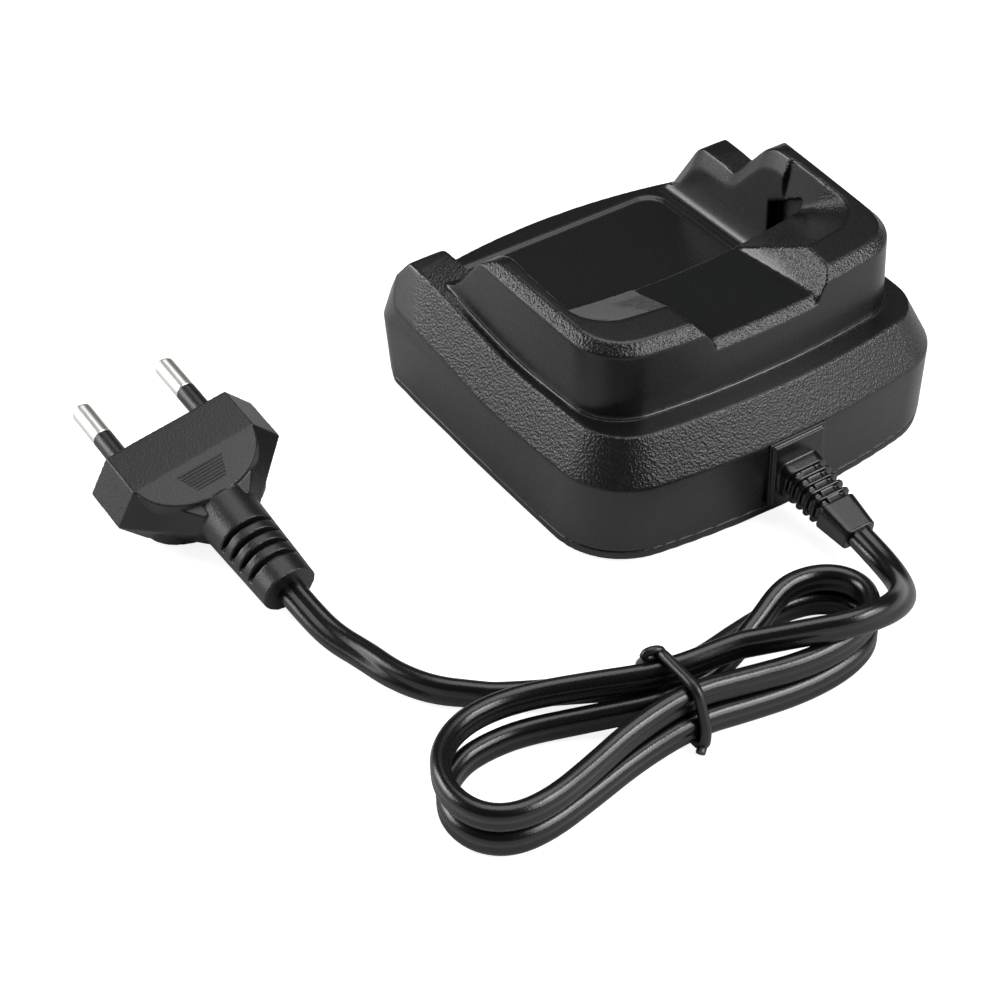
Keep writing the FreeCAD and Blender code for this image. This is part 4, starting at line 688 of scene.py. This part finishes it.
# %% [markdown]
# ## Bead at the foot of the upright wall
# A thin raised line runs round the foot of the U-shaped wall. It could be a rib of the mould or the
# edge of an insert; a rib is likelier, for it ends where the ears begin. Its path is felt out on
# the shell: a ray inwards finds the wall, and a ray down just outside it finds the ledge.

# %% Bead
BEAD_RADIUS, BEAD_STEP, BEAD_OUT = 0.36, 0.6, 0.15
RAYS, FIRST_RAY, LAST_RAY = 241, -30.0, 210.0
RAY_HEIGHT, RAY_REACH, RAY_DROP, RAY_OUT = 31.0, 70, 20, 0.6
LEDGE_LIMIT, BEAD_FRONT = 30.4, -14.5


def bead_path():
    """Points along the foot of the upright wall, in millimetres."""
    shell = BVHTree.FromPolygons([v.co for v in case_mesh.vertices],
                                 [p.vertices for p in case_mesh.polygons])
    path = []
    for k in range(RAYS):
        angle = math.radians(FIRST_RAY + (LAST_RAY - FIRST_RAY) * k / (RAYS - 1))
        out = Vector((math.cos(angle), math.sin(angle), 0))
        start = Vector((0, 0, RAY_HEIGHT)) * MM + out * RAY_REACH * MM
        wall = shell.ray_cast(start, -out)[0]
        if wall is None:
            continue
        above = wall + out * RAY_OUT * MM + Vector((0, 0, RAY_DROP * MM))
        ledge = shell.ray_cast(above, Vector((0, 0, -1)))[0]
        if ledge is None or ledge.z > LEDGE_LIMIT * MM or wall.y < BEAD_FRONT * MM:
            continue
        path.append((Vector((wall.x, wall.y, ledge.z)) + out * BEAD_OUT * MM) / MM)
    return path


bead_points = bead_path()
bead_black = finish("bead_black", (0.0060, 0.0063, 0.0068), 0.20, fine_matte, 0.2)
bead_mesh = rod(bead_points, "foot_bead", BEAD_RADIUS, BEAD_STEP, bead_black)
show(bead_mesh, "foot_bead", [], bead_black)
print("bead points", len(bead_points))

# %% Bottom cover
show(soften(merged("bottom_cover"), "base_cover", 0.45, 3), "base_cover", ["bottom_cover"],
     FINISHES["cover_plastic"])

# %% [markdown]
# ## Strain relief
# The ribbed boot is one moulding with the plate that sits on the back wall. The plate has a second,
# lower step round it, which draws the double line at its edge.

# %% Relief boot
def block(x0, x1, y0, y1, z0, z1):
    """Closed box between two corners, in millimetres."""
    verts = [(x, y, z) for x in (x0, x1) for y in (y0, y1) for z in (z0, z1)]
    faces = [(0, 1, 3, 2), (4, 6, 7, 5), (0, 4, 5, 1), (2, 3, 7, 6), (0, 2, 6, 4), (1, 5, 7, 3)]
    return new_mesh("block", verts, faces)


plate_step = block(-6.3, 6.3, 41.0, 42.0, 3.6, 17.7)
relief = show(soften(merged("strain_relief", [plate_step]), "relief_boot", 0.17, 2), "relief_boot",
              ["strain_relief"], FINISHES["cord_vinyl"])

# %% [markdown]
# ## Plug
# The plug is a flattened hexagon block. Behind it a raised tongue with a round end lies between the
# sloping flanks, and a slotted sleeve lets the cord bend. Seven fine grip ribs cross the tongue on
# both broad sides. They lie 0.64 mm apart, too fine for the CAD, so they are rods here.

# %% Plug body
TONGUE_START, TONGUE_LENGTH, TONGUE_TOP, TONGUE_END_TOP = 10.0, 8.7, 6.85, 5.4


def from_plug(along, aside, up):
    """Point in the charger's frame from the plug's own: along from its face backwards."""
    return PLUG_FACE + PLUG_TURN @ Vector((-along, aside, up))


plug = show(soften(merged("plug_body"), "plug_block", 0.20, 2), "plug_block", ["plug_body"],
            FINISHES["plug_vinyl"])

# %% Grip ribs on the tongue
GRIPS, FIRST_GRIP, GRIP_PITCH, GRIP_RADIUS, GRIP_RISE = 7, 12.0, 0.64, 0.19, 0.02
FIRST_GRIP_WIDTH, LAST_GRIP_WIDTH = 9.2, 6.0

grip_meshes = []
for i in range(GRIPS):
    along = FIRST_GRIP + GRIP_PITCH * i
    half = (FIRST_GRIP_WIDTH - (FIRST_GRIP_WIDTH - LAST_GRIP_WIDTH) * i / (GRIPS - 1)) / 2
    up = TONGUE_TOP - (TONGUE_TOP - TONGUE_END_TOP) * (along - TONGUE_START) / TONGUE_LENGTH
    for side in (1, -1):
        ends = [from_plug(along, s, side * (up + GRIP_RISE)) for s in (-half, half)]
        grip_meshes.append(rod(ends, "grip_rib", GRIP_RADIUS, 1.0, FINISHES["plug_vinyl"]))
grip = show(joined(grip_meshes, "grip_ribs"), "grip_ribs", [], FINISHES["plug_vinyl"])

# %% Pins and their sleeves
pins = show(soften(merged("plug_pins"), "pins", 0.13, 5), "pins", ["plug_pins"],
            FINISHES["pin_nickel"])
sleeves = show(soften(merged("plug_pin_sleeves"), "pin_covers", 0.10, 1), "pin_covers",
               ["plug_pin_sleeves"], FINISHES["sleeve_plastic"])

# %% [markdown]
# ## The cord
# The real cord is two cores side by side in one vinyl skin, so its section is a flat 8. It leaves
# the boot lying flat, but in the hank it stands on edge, because the tie squeezes it there and a
# flat cord bends easily only across its thin way. So the section turns along the line: flat at the
# boot, upright in the hank, and nearly flat again at the plug.

# %% Turned twin section along the line
LOBE = CORD_THICK / 2
HALF_GAP = (CORD_WIDE - CORD_THICK) / 2
SECTION_STEPS, LOBE_SHARE, LINE_STEP = 11, 0.95, 0.8
# Turning starts this far from an end, takes this long, and begins from this angle
TURN_START, BOOT_TURN, PLUG_TURNING, PLUG_ANGLE = 4.0, 38.0, 44.0, 18.0


def twin_section():
    """Outline of the flat 8 as (across, up) pairs, one lobe after the other."""
    reach = math.acos(-HALF_GAP / LOBE) * LOBE_SHARE
    section = []
    for lobe in (1, -1):
        for k in range(SECTION_STEPS + 1):
            a = reach * (1 - 2 * k / SECTION_STEPS)
            section.append((lobe * (HALF_GAP + LOBE * math.cos(a)), lobe * LOBE * math.sin(a)))
    return section


def even_line(line, step):
    """The same line with evenly spaced points."""
    lengths = [0.0]
    for a, b in zip(line, line[1:]):
        lengths.append(lengths[-1] + (b - a).length)
    count = max(int(lengths[-1] / step), 2)
    result, i = [], 0
    for k in range(count + 1):
        want = lengths[-1] * k / count
        while i < len(line) - 2 and lengths[i + 1] < want:
            i += 1
        run = max(lengths[i + 1] - lengths[i], 1e-9)
        result.append(line[i].lerp(line[i + 1], (want - lengths[i]) / run))
    return result


def roll_at(share):
    """Turn of the section in degrees at a share of the cord's length; 90 stands on edge."""
    place = share * cord_length / MM
    left = cord_length / MM - place
    return min(blend(0.0, 90.0, (place - TURN_START) / BOOT_TURN),
               blend(PLUG_ANGLE, 90.0, (left - TURN_START) / PLUG_TURNING))


def sweep(line, section):
    """Closed tube whose section turns along the line."""
    rows, count = [], len(line)
    for i, point in enumerate(line):
        heading = (line[min(i + 1, count - 1)] - line[max(i - 1, 0)]).normalized()
        across = heading.cross(Vector((0, 0, 1))).normalized()
        up = across.cross(heading).normalized()
        turn = math.radians(roll_at(i / (count - 1)))
        wide = across * math.cos(turn) + up * math.sin(turn)
        thin = up * math.cos(turn) - across * math.sin(turn)
        rows.append([(point + (wide * a + thin * b) * MM) / MM for a, b in section])
    size = len(section)
    verts = [v for row in rows for v in row]
    pairs = [(j, (j + 1) % size) for j in range(size)]
    faces = [(i * size + j, i * size + n, (i + 1) * size + n, (i + 1) * size + j)
             for i in range(count - 1) for j, n in pairs]
    faces += [tuple(reversed(range(size))), tuple(range((count - 1) * size, count * size))]
    mesh = new_mesh("cord", verts, faces)
    mesh.shade_smooth()
    mesh.set_sharp_from_angle(angle=math.radians(60))
    return mesh


cord_path = even_line(cord_line, LINE_STEP * MM)
cord = show(sweep(cord_path, twin_section()), "cord", ["cord_feed", "cord_hank", "cord_plug_lead"],
            FINISHES["cord_vinyl"])
lowest = min(v.co.z for v in cord.data.vertices) / MM
print("cord length %.1f mm, lowest point %.2f mm" % (cord_length / MM, lowest))

# %% [markdown]
# ## The tie
# A soft black tie is slung once round the waist of the hank and ends in a small loop. Its path is
# the tight outline of the strands where they pass through it, set off by its own radius.

# %% Tie round the strands
TIE_RADIUS, TIE_GAP, TIE_STEP, TIE_SLICE = 0.95, 0.1, 0.5, 1.0
LOWEST = TIE_RADIUS + 0.05
LOOP_MIDDLE = Vector((1.0, -0.3, 0.1))
LOOP_LONG, LOOP_HIGH = Vector((1.5, -0.5, 0.0)), Vector((0.0, 0.0, 0.8))
TAIL_STEP, TAIL_POINTS = Vector((0.4, 0.3, -0.2)), 4
LOOP_SHARE, TAIL_SHARE = 0.8, 0.9  # of the band's radius


def circle(steps):
    """Angles evenly round a full turn."""
    return [math.tau * k / steps for k in range(steps)]


def hull(points):
    """Convex outline of plane points, counterclockwise."""
    points = sorted(set(points))

    def half(run):
        """Points of a run that bulge outwards."""
        kept = []
        for p in run:
            while len(kept) > 1:
                (ax, ay), (bx, by) = kept[-2], kept[-1]
                if (bx - ax) * (p[1] - ay) - (by - ay) * (p[0] - ax) > 0:
                    break
                kept.pop()
            kept.append(p)
        return kept[:-1]

    return half(points) + half(points[::-1])


def tie_path():
    """Closed path round the strands, a little smoothed, in the plane of the tie."""
    near = [(v.co.y / MM, v.co.z / MM) for v in cord.data.vertices
            if abs(v.co.x / MM - HANK_MIDDLE) < TIE_SLICE]
    away = TIE_RADIUS + TIE_GAP
    spread = [(y + away * math.cos(a), z + away * math.sin(a))
              for y, z in hull(near) for a in circle(16)]
    return [Vector((HANK_MIDDLE, y, max(z, LOWEST))) for y, z in hull(spread)]


# %% Band, loop and tail
tie_ring = tie_path()
top = max(tie_ring, key=lambda p: p.z - 0.6 * p.y)
foot = max(tie_ring, key=lambda p: p.y - p.z)
loop = [top + LOOP_MIDDLE + LOOP_LONG * math.cos(a) + LOOP_HIGH * math.sin(a) for a in circle(20)]
tail = [foot + TAIL_STEP * k for k in range(TAIL_POINTS)]
tail = [Vector((p.x, p.y, max(p.z, LOWEST))) for p in tail]
tie_plastic = FINISHES["tie_plastic"]
tie_mesh = joined([
    rod(tie_ring, "band", TIE_RADIUS, TIE_STEP, tie_plastic, closed=True),
    rod(loop, "loop", TIE_RADIUS * LOOP_SHARE, TIE_STEP, tie_plastic, closed=True),
    rod(tail, "tail", TIE_RADIUS * TAIL_SHARE, TIE_STEP, tie_plastic)], "tie_band")
tie = show(tie_mesh, "tie_band", ["cord_tie"], tie_plastic)
print("tie points", len(tie_ring))
